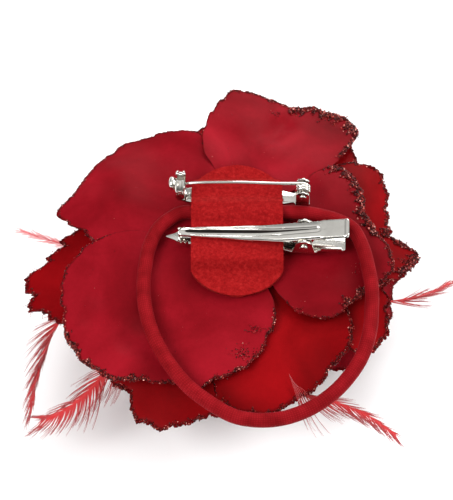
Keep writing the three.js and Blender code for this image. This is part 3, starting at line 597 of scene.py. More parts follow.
def glitter_crust(name, sheet, bands, seed):
    """Bands are (from angle, to angle, width of the crust, grains per degree)."""
    chance = random.Random(seed)
    spots = []
    for lobe in sheet["lobes"]:
        surface = lobe_surface(sheet, lobe)
        start, end = lobe["rim"][0][0], lobe["rim"][-1][0]
        for low, high, width, count in bands:
            low, high = max(low, start), min(high, end)
            for _ in range(round(count * max(0, high - low))):
                turn = chance.uniform(low, high)
                across = (turn - start) / (end - start)
                patch = 0.62 + 0.9 * noise.noise(Vector((turn * 0.45, seed, 0)))
                if not 0.02 < across < 0.98 or chance.random() > patch:
                    continue
                edge, _ = surface(across, 1)
                depth = abs(chance.gauss(0, 0.6)) * width * max(0.3, patch)
                reach = max(6.0, Vector((edge.x, edge.y, 0)).length)
                spot, _ = surface(across, 1 - min(depth, 2 * width) / reach)
                size = chance.uniform(0.1, 0.26) + 0.07 * (width > THICK_CRUST)
                side = -1 if chance.random() < UNDER_SHARE else 1
                pile = 0.12 + size * chance.uniform(0, 0.9 + 0.6 * (width > THICK_CRUST))
                spot = spot + Vector((chance.gauss(0, 0.16), chance.gauss(0, 0.16), side * pile))
                spots.append((spot, size))
    make_piece(name, scatter_grains(spots, chance), glitter, smooth=False)


glitter_crust("glitter_back_rim", back_sheet, [
    (44, 72, 3.3, 150), (72, 99, 1.0, 26), (101, 160, 0.4, 3), (160, 187, 0.7, 12),
    (190, 212, 0.6, 12), (212, 240, 1.3, 55), (240, 262, 0.9, 30), (262, 296, 1.1, 34),
    (300, 322, 0.4, 6), (322, 336, 2.0, 80), (336, 360, 1.1, 34), (360, 402, 2.6, 95),
], 11)
glitter_crust("glitter_second_rim", second_sheet, [
    (-26, -12, 1.2, 34), (-12, 8, 2.9, 110), (8, 46, 1.0, 26), (46, 158, 0.4, 2),
    (165, 205, 0.8, 28), (205, 220, 1.0, 40), (226, 268, 1.1, 42), (268, 328, 1.0, 24),
    (312, 345, 0.8, 18),
], 12)
glitter_crust("glitter_third_rim", third_sheet, [(0, 430, 0.8, 9)], 13)
glitter_crust("glitter_fourth_rim", fourth_sheet, [(0, 430, 0.8, 7)], 14)
glitter_crust("glitter_fifth_rim", fifth_sheet, [(0, 430, 0.7, 5)], 15)

# %% [markdown]
# A few clusters also fell on the cloth itself, away from any rim, and single grains lie all
# over the petals. They sit just above the surface of the lobe that they landed on.

# %% Fallen glitter
def fallen_grains(name, sheet, clusters, single, seed):
    """Clusters are (lobe, angle, radius, spread, grains)."""
    chance = random.Random(seed)
    spots = []

    def drop(lobe, turn, r, size):
        start, end = lobe["rim"][0][0], lobe["rim"][-1][0]
        across = (turn - start) / (end - start)
        edge, _ = lobe_surface(sheet, lobe)(across, 1)
        share = (r - STEM_HOLE) / (Vector((edge.x, edge.y, 0)).length - STEM_HOLE)
        if 0.03 < across < 0.97 and 0.3 < share < 0.97:
            spot, _ = lobe_surface(sheet, lobe)(across, share)
            spots.append((spot + Vector((0, 0, 0.15 + size * 0.5)), size))

    for index, turn, r, spread, count in clusters:
        for _ in range(count):
            away = chance.gauss(0, spread)
            drop(sheet["lobes"][index], turn + math.degrees(away / r),
                 r + chance.gauss(0, spread * 0.7), chance.uniform(0.09, 0.2))
    for _ in range(single):
        lobe = chance.choice(sheet["lobes"])
        turn = chance.uniform(lobe["rim"][0][0], lobe["rim"][-1][0])
        drop(lobe, turn, chance.uniform(22, 46), chance.uniform(0.06, 0.12))
    make_piece(name, scatter_grains(spots, chance), glitter, smooth=False)


fallen_grains("glitter_fallen", back_sheet, [
    (2, 279, 29.5, 1.1, 60), (2, 272, 35.5, 1.6, 90), (2, 276, 38, 1.2, 60),
    (3, 303, 28.5, 0.8, 60), (0, 76, 45, 0.8, 24), (3, 342, 33, 1.0, 16)], 140, 16)

# %% [markdown]
# ## Sealed edges
# Heat shrinks cut satin into a thin hard bead. A wire laid along each lobe's rim, swelling and
# thinning with noise, gives the petals that dark finished edge from both sides.

# %% Sealed edges
RIM_STEPS = 240


def sealed_edge(name, sheet, thick, seed):
    lines = []
    for lobe in sheet["lobes"]:
        surface = lobe_surface(sheet, lobe)
        line = []
        for step in range(RIM_STEPS + 1):
            across = (1 - math.cos(math.pi * step / RIM_STEPS)) / 2
            across = 0.01 + 0.98 * (0.5 * step / RIM_STEPS + 0.5 * across)
            spot, _ = surface(across, 0.998)
            swell = 0.75 + 0.9 * noise.noise(Vector((across * 23, seed, lobe["rim"][0][0])))
            swell += 0.4 * noise.noise(spot * 1.7)
            line.append((spot, max(0.3, swell) * min(1, 12 * min(across, 1 - across) + 0.3)))
        lines.append(line)
    make_piece(name, wire_mesh(name, lines, thick, 1), singed)


def singed_finish():
    finish = start_finish("singed_satin", (0.08, 0.001, 0.002), 0.7, Specular_IOR_Level=0.04)
    scorch = cloud(finish, 520, 4, Roughness=0.7)
    paint(finish, scorch, (0.35, (0.035, 0.0008, 0.001)), (0.55, (0.11, 0.0012, 0.002)),
          (0.75, (0.25, 0.004, 0.006)))
    emboss(finish, scorch, 0.6, 0.15)
    return finish


singed = singed_finish()
sealed_edge("edge_back", back_sheet, 0.55, 1)
sealed_edge("edge_second", second_sheet, 0.85, 2)
for place, sheet in (("third", third_sheet), ("fourth", fourth_sheet), ("fifth", fifth_sheet)):
    sealed_edge("edge_" + place, sheet, 0.6, len(place))

# %% [markdown]
# ## Frayed threads
# Singed satin leaves loose threads. They are thin wires that start on a rim and wander outwards,
# longest at the torn piece on the left, where the flame drew them into dark curls.

# %% Threads
def thread_finish():
    finish = start_finish("singed_thread", (0.12, 0.006, 0.008), 0.7)
    paint(finish, cloud(finish, 420, 2), (0.35, (0.05, 0.003, 0.004)), (0.7, (0.38, 0.02, 0.03)))
    return finish


def loose_threads(name, sheet, bands, seed):
    """Bands are (from angle, to angle, threads, length)."""
    chance = random.Random(seed)
    lines = []
    for lobe in sheet["lobes"]:
        surface = lobe_surface(sheet, lobe)
        start, end = lobe["rim"][0][0], lobe["rim"][-1][0]
        for low, high, count, length in bands:
            for _ in range(count):
                across = (chance.uniform(low, high) - start) / (end - start)
                if not 0.03 < across < 0.97:
                    continue
                spot, _ = surface(across, 0.99)
                inner, _ = surface(across, 0.9)
                heading = (spot - inner).normalized()
                line = [(inner.lerp(spot, 0.6), 1.0)]
                for k in range(5):
                    wander = Vector([chance.gauss(0, 0.55) for _ in range(3)])
                    heading = (heading + wander * Vector((1, 1, 0.5)).length * 0.5).normalized()
                    line.append((spot.copy(), 1 - 0.14 * k))
                    spot = spot + heading * length * chance.uniform(0.12, 0.3)
                lines.append(line)
    make_piece(name, wire_mesh(name, lines, 0.16, 0), threads)


threads = thread_finish()
loose_threads("threads_back_rim", back_sheet, [
    (48, 110, 26, 1.1), (110, 190, 34, 1.1), (190, 290, 26, 0.9), (300, 400, 30, 0.9)], 21)
loose_threads("threads_second_rim", second_sheet, [
    (-20, 40, 18, 1.2), (180, 205, 22, 3.2), (225, 330, 40, 1.0)], 22)

# %% [markdown]
# ## Felt pad
# The pad is a soft strip of felt with round ends that hides the glue. It is a flat grid whose
# rows follow the pad's outline and rise over the clip, the elastic and the brooch bar below.
# Solidify gives it real thickness and a small bevel softens the scissor cut. Felt is fibres,
# not threads, so its colour and bump are cloudy noise with no direction at all.

# %% Felt
FELT_HALF, FELT_END, FELT_ARC, FELT_THICK = 12.2, 20.6, 13.6, 1.2
felt_rise = [(-13.6, 34.3), (-10.6, 36.9), (-0.4, 36.9), (3.2, 38.4), (5.6, 38.4), (9.4, 36.9),
             (13.6, 36.9), (16.4, 34.3)]


def felt_finish():
    finish = start_finish("red_felt", (0.26, 0.006, 0.006), 0.95, Sheen_Weight=0.08,
                          Sheen_Roughness=0.5, Sheen_Tint=(1, 0.2, 0.16, 1),
                          Specular_IOR_Level=0.03)
    fibres = cloud(finish, 2300, 4, Distortion=1.5)
    mottle = times_plus(finish, fibres, 0.45, cloud(finish, 1000, 5, Roughness=0.7))
    paint(finish, mottle, (0.45, (0.16, 0.003, 0.004)), (0.72, (0.26, 0.006, 0.007)),
          (1.0, (0.38, 0.016, 0.016)))
    emboss(finish, mottle, 0.75, 0.35)
    return finish


def felt_place(across, along):
    y = FELT_END * math.sin(math.pi / 2 * along)
    bulge = max(0.0, FELT_ARC**2 - max(0.0, abs(y) - (FELT_END - FELT_ARC)) ** 2)
    x = across * min(FELT_HALF, math.sqrt(bulge))
    z = between(felt_rise, y) + FELT_THICK
    soft = 0.12 * noise.noise(Vector((x, y, 0)) * 0.25) - 0.12 * abs(across) ** 6
    dimple = -0.35 * math.exp(-((x + 1.9) ** 2 + (y - 3.9) ** 2) / 0.5)
    return Vector((x, y, z + soft + dimple))


def felt_pad():
    sketch = bmesh.new()
    grid = bmesh.ops.create_grid(sketch, x_segments=64, y_segments=110, size=1)
    for vert in grid["verts"]:
        vert.co = felt_place(vert.co.x, vert.co.y)
    bmesh.ops.remove_doubles(sketch, verts=sketch.verts, dist=0.01)
    bmesh.ops.recalc_face_normals(sketch, faces=sketch.faces)
    pad = make_piece("felt_backing", sketch, felt, stands_for=["felt_pad"])
    thicken(pad, FELT_THICK)
    round_edges(pad, 0.3, 3)


felt = felt_finish()
felt_pad()

# %% [markdown]
# Up close the felt has a haze of loose fibres, above all along its cut edge. A few thousand
# bent hairs, each two short stretches long, are enough to break the hard outline.

# %% Felt fibres
def felt_fuzz(count, seed):
    chance = random.Random(seed)
    hairs = []
    for k in range(count):
        at_edge = k % 3 == 0
        across = chance.uniform(-1, 1)
        along = math.asin(chance.uniform(-0.999, 0.999)) * 2 / math.pi
        if at_edge:
            across = math.copysign(1 - chance.uniform(0, 0.012), across)
        depth = chance.uniform(-0.9, 0) if at_edge else -0.03
        root = felt_place(across, along) + Vector((0, 0, depth))
        turn = chance.uniform(0, 2 * math.pi)
        lean = Vector((math.cos(turn), math.sin(turn), chance.uniform(0.1, 0.55)))
        length = chance.uniform(0.25, 0.6)
        bent = Vector((chance.gauss(0, 0.12), chance.gauss(0, 0.12), -0.04))
        elbow = root + lean * length * 0.5 + bent
        hairs.append([(root, 1), (elbow, 0.8), (root + lean * length, 0.3)])
    make_piece("felt_fibres", wire_mesh("felt_fibres", hairs, 0.05, 0), felt)


felt_fuzz(3600, 31)

# %% [markdown]
# ## Glue
# Two beds of hot-melt glue hold the jaw and the brooch bar to the petals. A subdivided block
# with rounded edges, pushed about by slow noise, reads as glue that was pressed flat while warm.

# %% Glue beds
def glue_finish():
    finish = start_finish("hot_melt_glue", (0.78, 0.7, 0.52), 0.3, Subsurface_Weight=0.3)
    haze = cloud(finish, 260, 3)
    paint(finish, haze, (0.3, (0.66, 0.56, 0.38)), (0.7, (0.86, 0.8, 0.66)))
    emboss(finish, haze, 0.3, 0.3)
    return finish


def glue_bed(name):
    low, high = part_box(name)
    size, middle = (high - low) / MM, (high + low) / 2 / MM
    sketch = bmesh.new()
    bmesh.ops.create_cube(sketch, size=1)
    bmesh.ops.scale(sketch, verts=sketch.verts, vec=size)
    bmesh.ops.bevel(sketch, geom=sketch.edges[:], offset=0.4, segments=3, profile=0.5,
                    affect="EDGES", material=-1)
    bmesh.ops.subdivide_edges(sketch, edges=[e for e in sketch.edges if e.calc_length() > 2],
                              cuts=9, use_grid_fill=True)
    for vert in sketch.verts:
        push = 0.1 * noise.noise(vert.co * 0.6) - 0.1
        vert.co = middle + vert.co * (1 + push * 0.12) + Vector((0, 0, push * 0.4))
    make_piece(name + "_set", sketch, glue, stands_for=[name])


glue = glue_finish()
glue_bed("glue_under_clip")
glue_bed("glue_under_pin")

# %% [markdown]
# ## Stem
# A moulded plastic post runs through every sheet, with a head inside the bud and a pressed-on
# cap at the back. Both are turned shapes: half a section, spun once round the axis.

# %% Stem post and cap
def spun(sketch, section, place=Matrix(), steps=48):
    """A section of (radius, height) points: closed, or starting and ending on the axis."""
    part = bmesh.new()
    corners = [part.verts.new((r, 0, h)) for r, h in section]
    edges = [part.edges.new(pair) for pair in zip(corners, corners[1:])]
    bmesh.ops.spin(part, geom=corners + edges, cent=(0, 0, 0), axis=(0, 0, 1),
                   angle=2 * math.pi, steps=steps, use_merge=True, dvec=(0, 0, 0))
    bmesh.ops.remove_doubles(part, verts=part.verts, dist=1e-4)
    bmesh.ops.recalc_face_normals(part, faces=part.faces)
    return lay_in(sketch, part, place)


def lay_in(sketch, part, place):
    bmesh.ops.transform(part, matrix=place, verts=part.verts)
    carrier = bpy.data.meshes.new("carrier")
    part.to_mesh(carrier)
    part.free()
    sketch.from_mesh(carrier)
    bpy.data.meshes.remove(carrier)
    return sketch


def plastic_finish():
    finish = start_finish("moulded_plastic", (0.2, 0.008, 0.014), 0.35)
    flow = cloud(finish, 300, 2)
    paint(finish, flow, (0.3, (0.15, 0.005, 0.01)), (0.7, (0.26, 0.012, 0.02)))
    emboss(finish, flow, 0.15, 0.1)
    return finish


plastic = plastic_finish()
sections = {
    "post": [(0, 26.25), (2.25, 26.25), (2.42, 26.32), (2.5, 26.5), (2.42, 26.85), (2.2, 26.95),
             (1.6, 26.98), (1.4, 27.2), (1.4, 34.95), (1.3, 35.12), (1.1, 35.2), (0, 35.2)],
    "cap": [(1.75, 34.35), (2.4, 34.35), (2.56, 34.48), (2.6, 34.9), (2.45, 35.12), (2.2, 35.18),
            (1.85, 35.18), (1.75, 35.05), (1.75, 34.35)],
}
for part, section in sections.items():
    make_piece(part + "_turned", spun(bmesh.new(), section), plastic,
               stands_for=["stem_" + part])

# %% [markdown]
# ## Rolled bud
# The bud is three strips of satin rolled round the stem's head, one inside the next. Each is a
# grid wound into a spiral whose radius swells at the waist and closes at both ends. The free
# edge at the crown is ragged and flares a little, like the petals round it.

# %% Bud
BUD_FOOT = 25.6
BUD_WINDING = 460  # degrees that each strip winds round
bud_swell = [(0.6, 0.58), (5, 0.9), (11.7, 1.0), (19, 0.78), (BUD_FOOT, 0.42)]


def bud_roll(name, first_turn, stands_for=()):
    sketch = bmesh.new()
    rim = sketch.verts.layers.float.new("rim")
    grid = bmesh.ops.create_grid(sketch, x_segments=90, y_segments=30, size=1)
    for vert in grid["verts"]:
        wound, up = (vert.co.x + 1) / 2, (vert.co.y + 1) / 2
        crown = 0.5 + 1.1 * (0.5 + 0.5 * math.sin(wound * 17 + first_turn)) + 1.4 * (1 - wound)
        crown += 0.5 * noise.noise(Vector((wound * 30, first_turn, 0)))
        z = crown + (BUD_FOOT - crown) * up
        flare = 0.5 * wound * soft_step(-z, -3.5, -0.5)
        r = (1.2 + 5.2 * wound) * between(bud_swell, z) + flare
        r += 0.25 * noise.noise(Vector((wound * 9, z * 0.12, first_turn))) * wound
        vert.co = on_circle(first_turn + BUD_WINDING * wound, r, z)
        vert[rim] = 1 - soft_step(z - crown, 0.1, 0.9)
    bmesh.ops.recalc_face_normals(sketch, faces=sketch.faces)
    area = sum(face.calc_area() for face in sketch.faces)
    roll = make_piece(name, sketch, inner_satin, stands_for=stands_for)
    thicken(roll, 0.25, 0)


bud_roll("bud_roll_first", 0, ["bud_core"])
bud_roll("bud_roll_second", 120)
bud_roll("bud_roll_third", 240)

# %% [markdown]
# ## Feathers
# Five small dyed feathers are caught between the second and third sheets. A feather is a bowed
# tapering shaft with rows of hair-thin barbs, and the barbs split into clumps. Every shaft and
# barb is a thin swept wire. Its UV map runs along it, so the dye can fade towards the tips.

# %% Feathers
def feather_finish(name, root, middle, tip):
    finish = start_finish(name, middle, 0.6, Sheen_Weight=0.3)
    along = add(finish, "SeparateXYZ", Vector=where(finish, "UV")).outputs["X"]
    faded = times_plus(finish, cloud(finish, 150, 2), 0.3, along)
    paint(finish, faded, (0.12, root), (0.5, middle), (1.0, tip))
    return finish


shaft_dye = feather_finish("shaft_dye", (0.45, 0.005, 0.008), (0.6, 0.01, 0.014), (0.6, 0.03, 0.03))
barb_dye = feather_finish("barb_dye", (0.58, 0.006, 0.01), (0.5, 0.011, 0.015), (0.34, 0.025, 0.03))
pale_dye = feather_finish("pale_dye", (0.62, 0.05, 0.06), (0.72, 0.24, 0.25), (0.8, 0.42, 0.42))
SHAFT_THICK, BARB_THICK, BARB_STEPS = 0.55, 0.19, 6


def feather(node, route, vanes, seed, dye, strays=()):
    """A vane is (side, start share, barb length at the root end and at the tip, angle, barbs)."""
    chance = random.Random(seed)
    shaft = smooth_route(route, 12)
    steps = len(shaft) - 1

    def on_shaft(s):
        k = min(steps - 1, int(s * steps))
        ahead = (shaft[k + 1] - shaft[k]).normalized()
        aside = ahead.cross(Vector((0, 0, 1))).normalized()
        return shaft[k].lerp(shaft[k + 1], s * steps - k), ahead, aside

    barbs = []
    for side, start, near, far, angle, count in vanes:
        k = 0
        while k < count:
            clump = min(count - k, chance.randint(2, 6))
            bent = angle + chance.gauss(0, 4)
            rise = chance.gauss(0, 0.12)
            centre = start + (1 - start) * (k + clump / 2) / count
            size = (near + (far - near) * centre) * chance.uniform(0.8, 1.1)
            for member in range(clump):
                s = min(0.999, start + (1 - start) * (k + member + 0.5) / count)
                own, ahead, aside = on_shaft(s)
                lead = on_shaft(min(0.999, centre))[0]
                full = size * chance.uniform(0.85, 1.05)
                drift = chance.gauss(0, 0.2)
                line = []
                for step in range(BARB_STEPS + 1):
                    t = step / BARB_STEPS
                    turned = math.radians(bent * (1.15 - 0.4 * t))
                    lean = ahead * math.cos(turned) + aside * side * math.sin(turned)
                    lean += Vector((0, 0, rise))
                    spot = own.lerp(lead, 0.55 * t) + lean * full * t + aside * side * drift * t * t
                    line.append((spot, 1 - 0.75 * t))
                barbs.append(line)
            k += clump
    barbs += [[(p, 1 - 0.05 * k) for k, p in enumerate(smooth_route(stray, 4))] for stray in strays]
    lines = [(p, 1 - 0.8 * k / steps) for k, p in enumerate(shaft)]
    make_piece(node + "_shaft", wire_mesh(node, [lines], SHAFT_THICK, 2), shaft_dye,
               stands_for=[node])
    make_piece(node + "_barbs", wire_mesh(node, barbs, BARB_THICK, 0), dye)


feather("feather_left", [(-30, 0.5, 27), (-38, 0.8, 25), (-44.9, 3.1, 22), (-52.6, 6.8, 19.8),
                         (-59.2, 10.5, 18)],
        [(1, 0.35, 9, 3, 13, 160), (-1, 0.35, 8, 3, 15, 160)], 41, pale_dye)
feather("feather_lower_left", [(-31, -14, 26.8), (-40, -16, 23.8), (-47.4, -20.1, 20.8),
                               (-50.7, -27.1, 19), (-53.1, -34.5, 17), (-54.4, -44.5, 15.5)],
        [(1, 0.3, 15, 7, 15, 110), (1, 0.35, 12, 5, 7, 130), (-1, 0.38, 10, 4, 6, 130)], 42,
        barb_dye)
feather("feather_bottom_left", [(-20, -24, 27.5), (-28, -30.5, 24.6), (-34.8, -36.1, 21.5),
                                (-40.3, -41.9, 19.5), (-46.6, -45.9, 17.5), (-51.4, -46.8, 16)],
        [(1, 0.3, 14, 5, 22, 150), (-1, 0.22, 15, 6, 44, 190)], 43, barb_dye)
feather("feather_right", [(30, -12, 27), (35, -14.6, 25.4), (39.9, -15.2, 23.5), (46.5, -13.4, 22),
                          (52.7, -10.6, 20.5), (59.3, -5.6, 18.5)],
        [(-1, 0.4, 12, 3, 7, 110), (1, 0.4, 16, 4, 9, 120)], 44, barb_dye)
feather("feather_bottom_right", [(8, -26, 28), (12.5, -35.5, 26.3), (16.4, -43.3, 24.6),
                                 (25.5, -45.5, 23), (33.3, -48.4, 21.8), (41, -53.6, 20.5)],
        [(-1, 0.4, 11, 3, 10, 120), (1, 0.35, 16, 5, 28, 190)], 45, barb_dye,
        strays=[[(17 + k, -47.5 - 0.4 * k, 24.6), (16 + k, -48, 27), (14.8 + k * 0.7, -45.4, 29.2),
                 (13.4 + k * 0.5, -41 - k, 30)] for k in (0, 0.4, 0.8, 1.3, 1.9, 2.6, 3.4)])

# %% [markdown]
# ## Nickel plate
# The clip and the brooch pin are pressed steel with bright nickel plating: almost a mirror, a
# little warm, with faint drawing marks that blur it in places. The metal is mostly what it
# reflects, so its own nodes only vary the roughness and lift a trace of bump.

# %% Nickel
def nickel_finish(name, colour, low, high):
    finish = start_finish(name, colour, low, Metallic=1.0)
    smear = add(finish, "Mapping", Vector=where(finish), Scale=(160, 1400, 700))
    marks = add(finish, "TexNoise", Vector=smear.outputs[0], Scale=1.0, Detail=4).outputs["Fac"]
    rough = add(finish, "MapRange", Value=marks, From_Min=0.3, From_Max=0.7, To_Min=low,
                To_Max=high)
    feed(finish, "Roughness", rough.outputs["Result"])
    stained = tuple(0.86 * c for c in colour)
    paint(finish, cloud(finish, 180, 3), (0.3, stained), (0.6, colour))
    emboss(finish, marks, 0.08, 0.03)
    return finish


nickel = nickel_finish("nickel_plate", (0.74, 0.72, 0.67), 0.06, 0.16)
# A dark finish for the sheet under the arm's slot: painted shade, standing in for the shadow in the
# slot.
slot_shade_steel = nickel_finish("slot_shade_steel", (0.1, 0.09, 0.085), 0.4, 0.6)

# %% [markdown]
# ## Pressed metal parts
# Sheet parts start as one flat outline, raised to the metal's thickness, with every sharp edge
# slightly bevelled so it catches a thin line of light. Upright parts are the same plate stood
# on edge. Both fittings sit a little turned on the flower, so each is drawn along X and then
# moved to its place.

# %% Plates and rods
STAND = Matrix.Rotation(math.pi / 2, 4, "X")
ARC_STEPS = 14


def plate(sketch, outline, low, high, place=Matrix(), edge=0.12):
    part = bmesh.new()
    face = part.faces.new([part.verts.new((x, y, low)) for x, y in outline])
    raised = bmesh.ops.extrude_face_region(part, geom=[face])["geom"]
    top = [item for item in raised if isinstance(item, bmesh.types.BMVert)]
    bmesh.ops.translate(part, verts=top, vec=(0, 0, high - low))
    bmesh.ops.recalc_face_normals(part, faces=part.faces)
    sharp = [e for e in part.edges if e.calc_face_angle(0) > 0.5]
    bmesh.ops.bevel(part, geom=sharp, offset=edge, segments=2, profile=0.5, affect="EDGES",
                    material=-1, clamp_overlap=True)
    return lay_in(sketch, part, place)


def upright(sketch, outline, near, far, edge=0.1):
    """An outline in X and Z, standing between two values of Y."""
    return plate(sketch, outline, -far, -near, STAND, edge)


def both_sides(halves):
    return [(x, -h) for x, h in halves] + [(x, h) for x, h in reversed(halves)]


def arc(cx, cy, radius, start, end):
    turns = [math.radians(start + (end - start) * k / ARC_STEPS) for k in range(ARC_STEPS + 1)]
    return [(cx + radius * math.cos(t), cy + radius * math.sin(t)) for t in turns]


def soften(piece, angle=40):
    bpy.context.view_layer.objects.active = piece
    piece.select_set(True)
    bpy.ops.object.shade_smooth_by_angle(angle=math.radians(angle))
    piece.select_set(False)


JAW_LOW, JAW_TOP = 35.6, 36.3
EAR_LOW = JAW_LOW + 0.1
PIVOT_Z = 38.8
clip_place = Matrix.Translation((17.7, -4.1, 0)) @ Matrix.Rotation(math.radians(-2.2), 4, "Z")

# %% [markdown]
# ## The clip's jaw
# The jaw is one strip: a bare point, toothed sides turned up near it, ears that carry the axle
# and a handle with rolled sides. It is drawn along X from the axle and turned into place.

# %% Jaw
def clip_jaw():
    sketch = bmesh.new()
    plan = both_sides([(-36.6, 0.2), (-35.6, 0.55), (-34.2, 1.1), (-33.2, 1.8), (-30, 2.2),
                       (-7.3, 2.6), (-3.6, 3.5), (-3.3, 3.65), (3.3, 3.65), (4.1, 2.9),
                       (10.2, 2.9), (10.9, 2.6), (11.1, 2.1)])
    plate(sketch, plan, JAW_LOW, JAW_TOP)
    root, valley, peak = JAW_LOW + 0.2, JAW_LOW + 1.35, JAW_LOW + 2.2
    teeth = [(-33.6, root)]
    for k in range(3):
        teeth += [(-33.6 + 1.1 * k, valley), (-33.1 + 1.1 * k, peak)]
    teeth += [(-30.6, valley), (-30.4, root)]
    ear = [(-3.3, EAR_LOW), (3.3, EAR_LOW)] + arc(0, PIVOT_Z, 2.4, 0, 180)
    rolled = [(4.2, EAR_LOW), (10.3, EAR_LOW), (10.3, JAW_TOP + 0.7), (9.9, JAW_TOP + 0.8),
              (4.6, JAW_TOP + 0.8)]
    for side in (-1, 1):
        upright(sketch, teeth, *sorted((side * 1.9, side * 2.4)), edge=0.06)
        upright(sketch, ear, *sorted((side * 3.05, side * 3.65)), edge=0.14)
        upright(sketch, rolled, *sorted((side * 2.4, side * 2.9)), edge=0.14)
    bmesh.ops.transform(sketch, matrix=clip_place, verts=sketch.verts)
    soften(make_piece("jaw_pressed", sketch, nickel, stands_for=["clip_lower_jaw"]))


clip_jaw()

# %% [markdown]
# ## The clip's arm
# The arm bows from its tip up over the axle to the flat handle. A long slot splits it in two
# and a pressed groove runs round the slot. Half of it is a grid between the slot's edge and the
# outer edge; mirroring that half leaves the slot open with no cutting, and Solidify gives the
# metal its thickness.

# %% Arm
ARM_TIP, ARM_END = -33.2, 11.8
SLOT_TIP, SLOT_END = -31.6, 3.4
CORNER, CORNER_START = 0.8, 11.0
arm_route = smooth_route([(ARM_TIP, 0, 38.75), (-25.9, 0, 38.95), (-16.6, 0, 39.25),
                          (-8.3, 0, 39.87), (0, 0, 41.3), (5.9, 0, 42.51), (ARM_END, 0, 43.5)], 12)
arm_half = [(ARM_TIP, 0.95), (-32.6, 1.3), (-24, 1.75), (-14, 2.35), (-5, 2.75), (4, 2.78),
            (5, 3.0), (ARM_END, 3.0)]


def arm_height(x):
    for a, b in zip(arm_route, arm_route[1:]):
        if x <= b.x:
            return a.z + (b.z - a.z) * (x - a.x) / (b.x - a.x)
    return arm_route[-1].z


def slot_half(x):
    """The slot is a long leaf: widest near the tip, closing to a hair near the handle."""
    if not SLOT_TIP < x < SLOT_END:
        return 0.0
    leaf = between([(SLOT_TIP, 0.5), (-27, 0.62), (-14, 0.5), (-5, 0.26), (SLOT_END, 0.09)], x)
    return leaf * min(1, (x - SLOT_TIP) / 0.7) ** 0.5 * min(1, (SLOT_END - x) / 0.3) ** 0.5


def pressed_in(x, y, share, wide):
    """How far the strap's face is raised or sunk: groove, crown, rolled edge, pip and hem."""
    away = y - between([(-32, 0.9), (-14, 1.15), (3.3, 0.85)], x)
    if x > 3.3:
        away = math.hypot(x - 3.3, y) - 0.85
    groove = -0.16 * math.exp(-((away / 0.17) ** 2)) * soft_step(x, -31.5, -29)
    crown = 0.32 * (1 - (y / wide) ** 2) * (1 - soft_step(x, 3, 6))
    crown -= 0.55 * soft_step(share, 0.8, 1.0) ** 2
    pip = -0.05 * math.exp(-((x - 5.2) ** 2 + y * y) / 0.08)
    hem = 0.14 * (soft_step(x, 10.6, 10.9) - soft_step(x, 11.5, 11.8))
    return 0.1 + groove + crown + pip + hem


def arm_strap():
    part = bmesh.new()
    grid = bmesh.ops.create_grid(part, x_segments=190, y_segments=16, size=1)
    for vert in grid["verts"]:
        x = ARM_TIP + (ARM_END - ARM_TIP) * (vert.co.x + 1) / 2
        share = (vert.co.y + 1) / 2
        wide, slot = between(arm_half, x), slot_half(x)
        if x > CORNER_START:
            wide -= CORNER * (1 - math.sqrt(max(0, 1 - ((x - CORNER_START) / CORNER) ** 2)))
        y = slot + (wide - slot) * share
        vert.co = (x, y, arm_height(x) + pressed_in(x, y, share, wide))
    bmesh.ops.mirror(part, geom=part.verts[:] + part.edges[:] + part.faces[:], axis="Y",
                     merge_dist=0.01)
    bmesh.ops.remove_doubles(part, verts=part.verts, dist=0.012)
    bmesh.ops.recalc_face_normals(part, faces=part.faces)
    bmesh.ops.transform(part, matrix=clip_place, verts=part.verts)
    strap = make_piece("arm_strap", part, nickel, "clip_arm", ["clip_upper_arm"])
    thicken(strap, 0.45)
    round_edges(strap, 0.1, 2, 50)
    soften(strap, 50)


def arm_fittings():
    sketch = bmesh.new()
    cheek = arc(0, PIVOT_Z, 1.9, 180, 360) + [(3, 41.5), (-3, 40.3)]
    for near, far in ((-2.75, -2.2), (2.2, 2.75)):
        upright(sketch, cheek, near, far)
    lip = [(ARM_TIP, 36.75), (-32.75, 36.75), (-32.6, 38.7), (ARM_TIP, 38.7)]
    upright(sketch, lip, -0.95, 0.95, 0.08)
    bmesh.ops.transform(sketch, matrix=clip_place, verts=sketch.verts)
    soften(make_piece("arm_cheeks_and_lip", sketch, nickel, "clip_arm"))


def slot_shade_leaf():
    """A thin dark sheet under the slot is painted shade, standing in for the shadow inside the
    slot.
    """
    sketch = bmesh.new()
    grid = bmesh.ops.create_grid(sketch, x_segments=60, y_segments=2, size=1)
    for vert in grid["verts"]:
        x = -31.9 + 35.9 * (vert.co.x + 1) / 2
        vert.co = (x, vert.co.y * min(1.2, slot_half(x) + 0.55), arm_height(x) - 0.42)
    bmesh.ops.recalc_face_normals(sketch, faces=sketch.faces)
    bmesh.ops.transform(sketch, matrix=clip_place, verts=sketch.verts)
    leaf = make_piece("slot_shade_sheet", sketch, slot_shade_steel, "clip_arm")
    thicken(leaf, 0.14)


arm_strap()
arm_fittings()
slot_shade_leaf()

# %% [markdown]
# ## Axle and spring
# The axle's heads are domed with a small dimple where they were set. The torsion spring is one
# wire: a leg on the jaw's handle, four and a half close turns and a leg under the arm. It has to
# twist when the clip opens, but here it rides on no body of the frame and is baked in place
# where it lies.

# %% Axle and spring
def headed_rod(name, node, place, radius, head, span, thick):
    half = [(0, span + thick * 0.6), (head * 0.25, span + thick * 0.65),
            (head * 0.42, span + thick), (head * 0.8, span + thick * 0.85),
            (head, span + thick * 0.35), (head, span), (radius, span)]
    section = half + [(r, -h) for r, h in reversed(half)]
    rod = spun(bmesh.new(), section, place @ STAND, 32)
    soften(make_piece(name, rod, nickel, stands_for=[node]), 50)


def coil_place(turn, radius, y, x=0.0, z=0.0):
    turn = math.radians(turn)
    return (x + radius * math.cos(turn), y, z + radius * math.sin(turn))


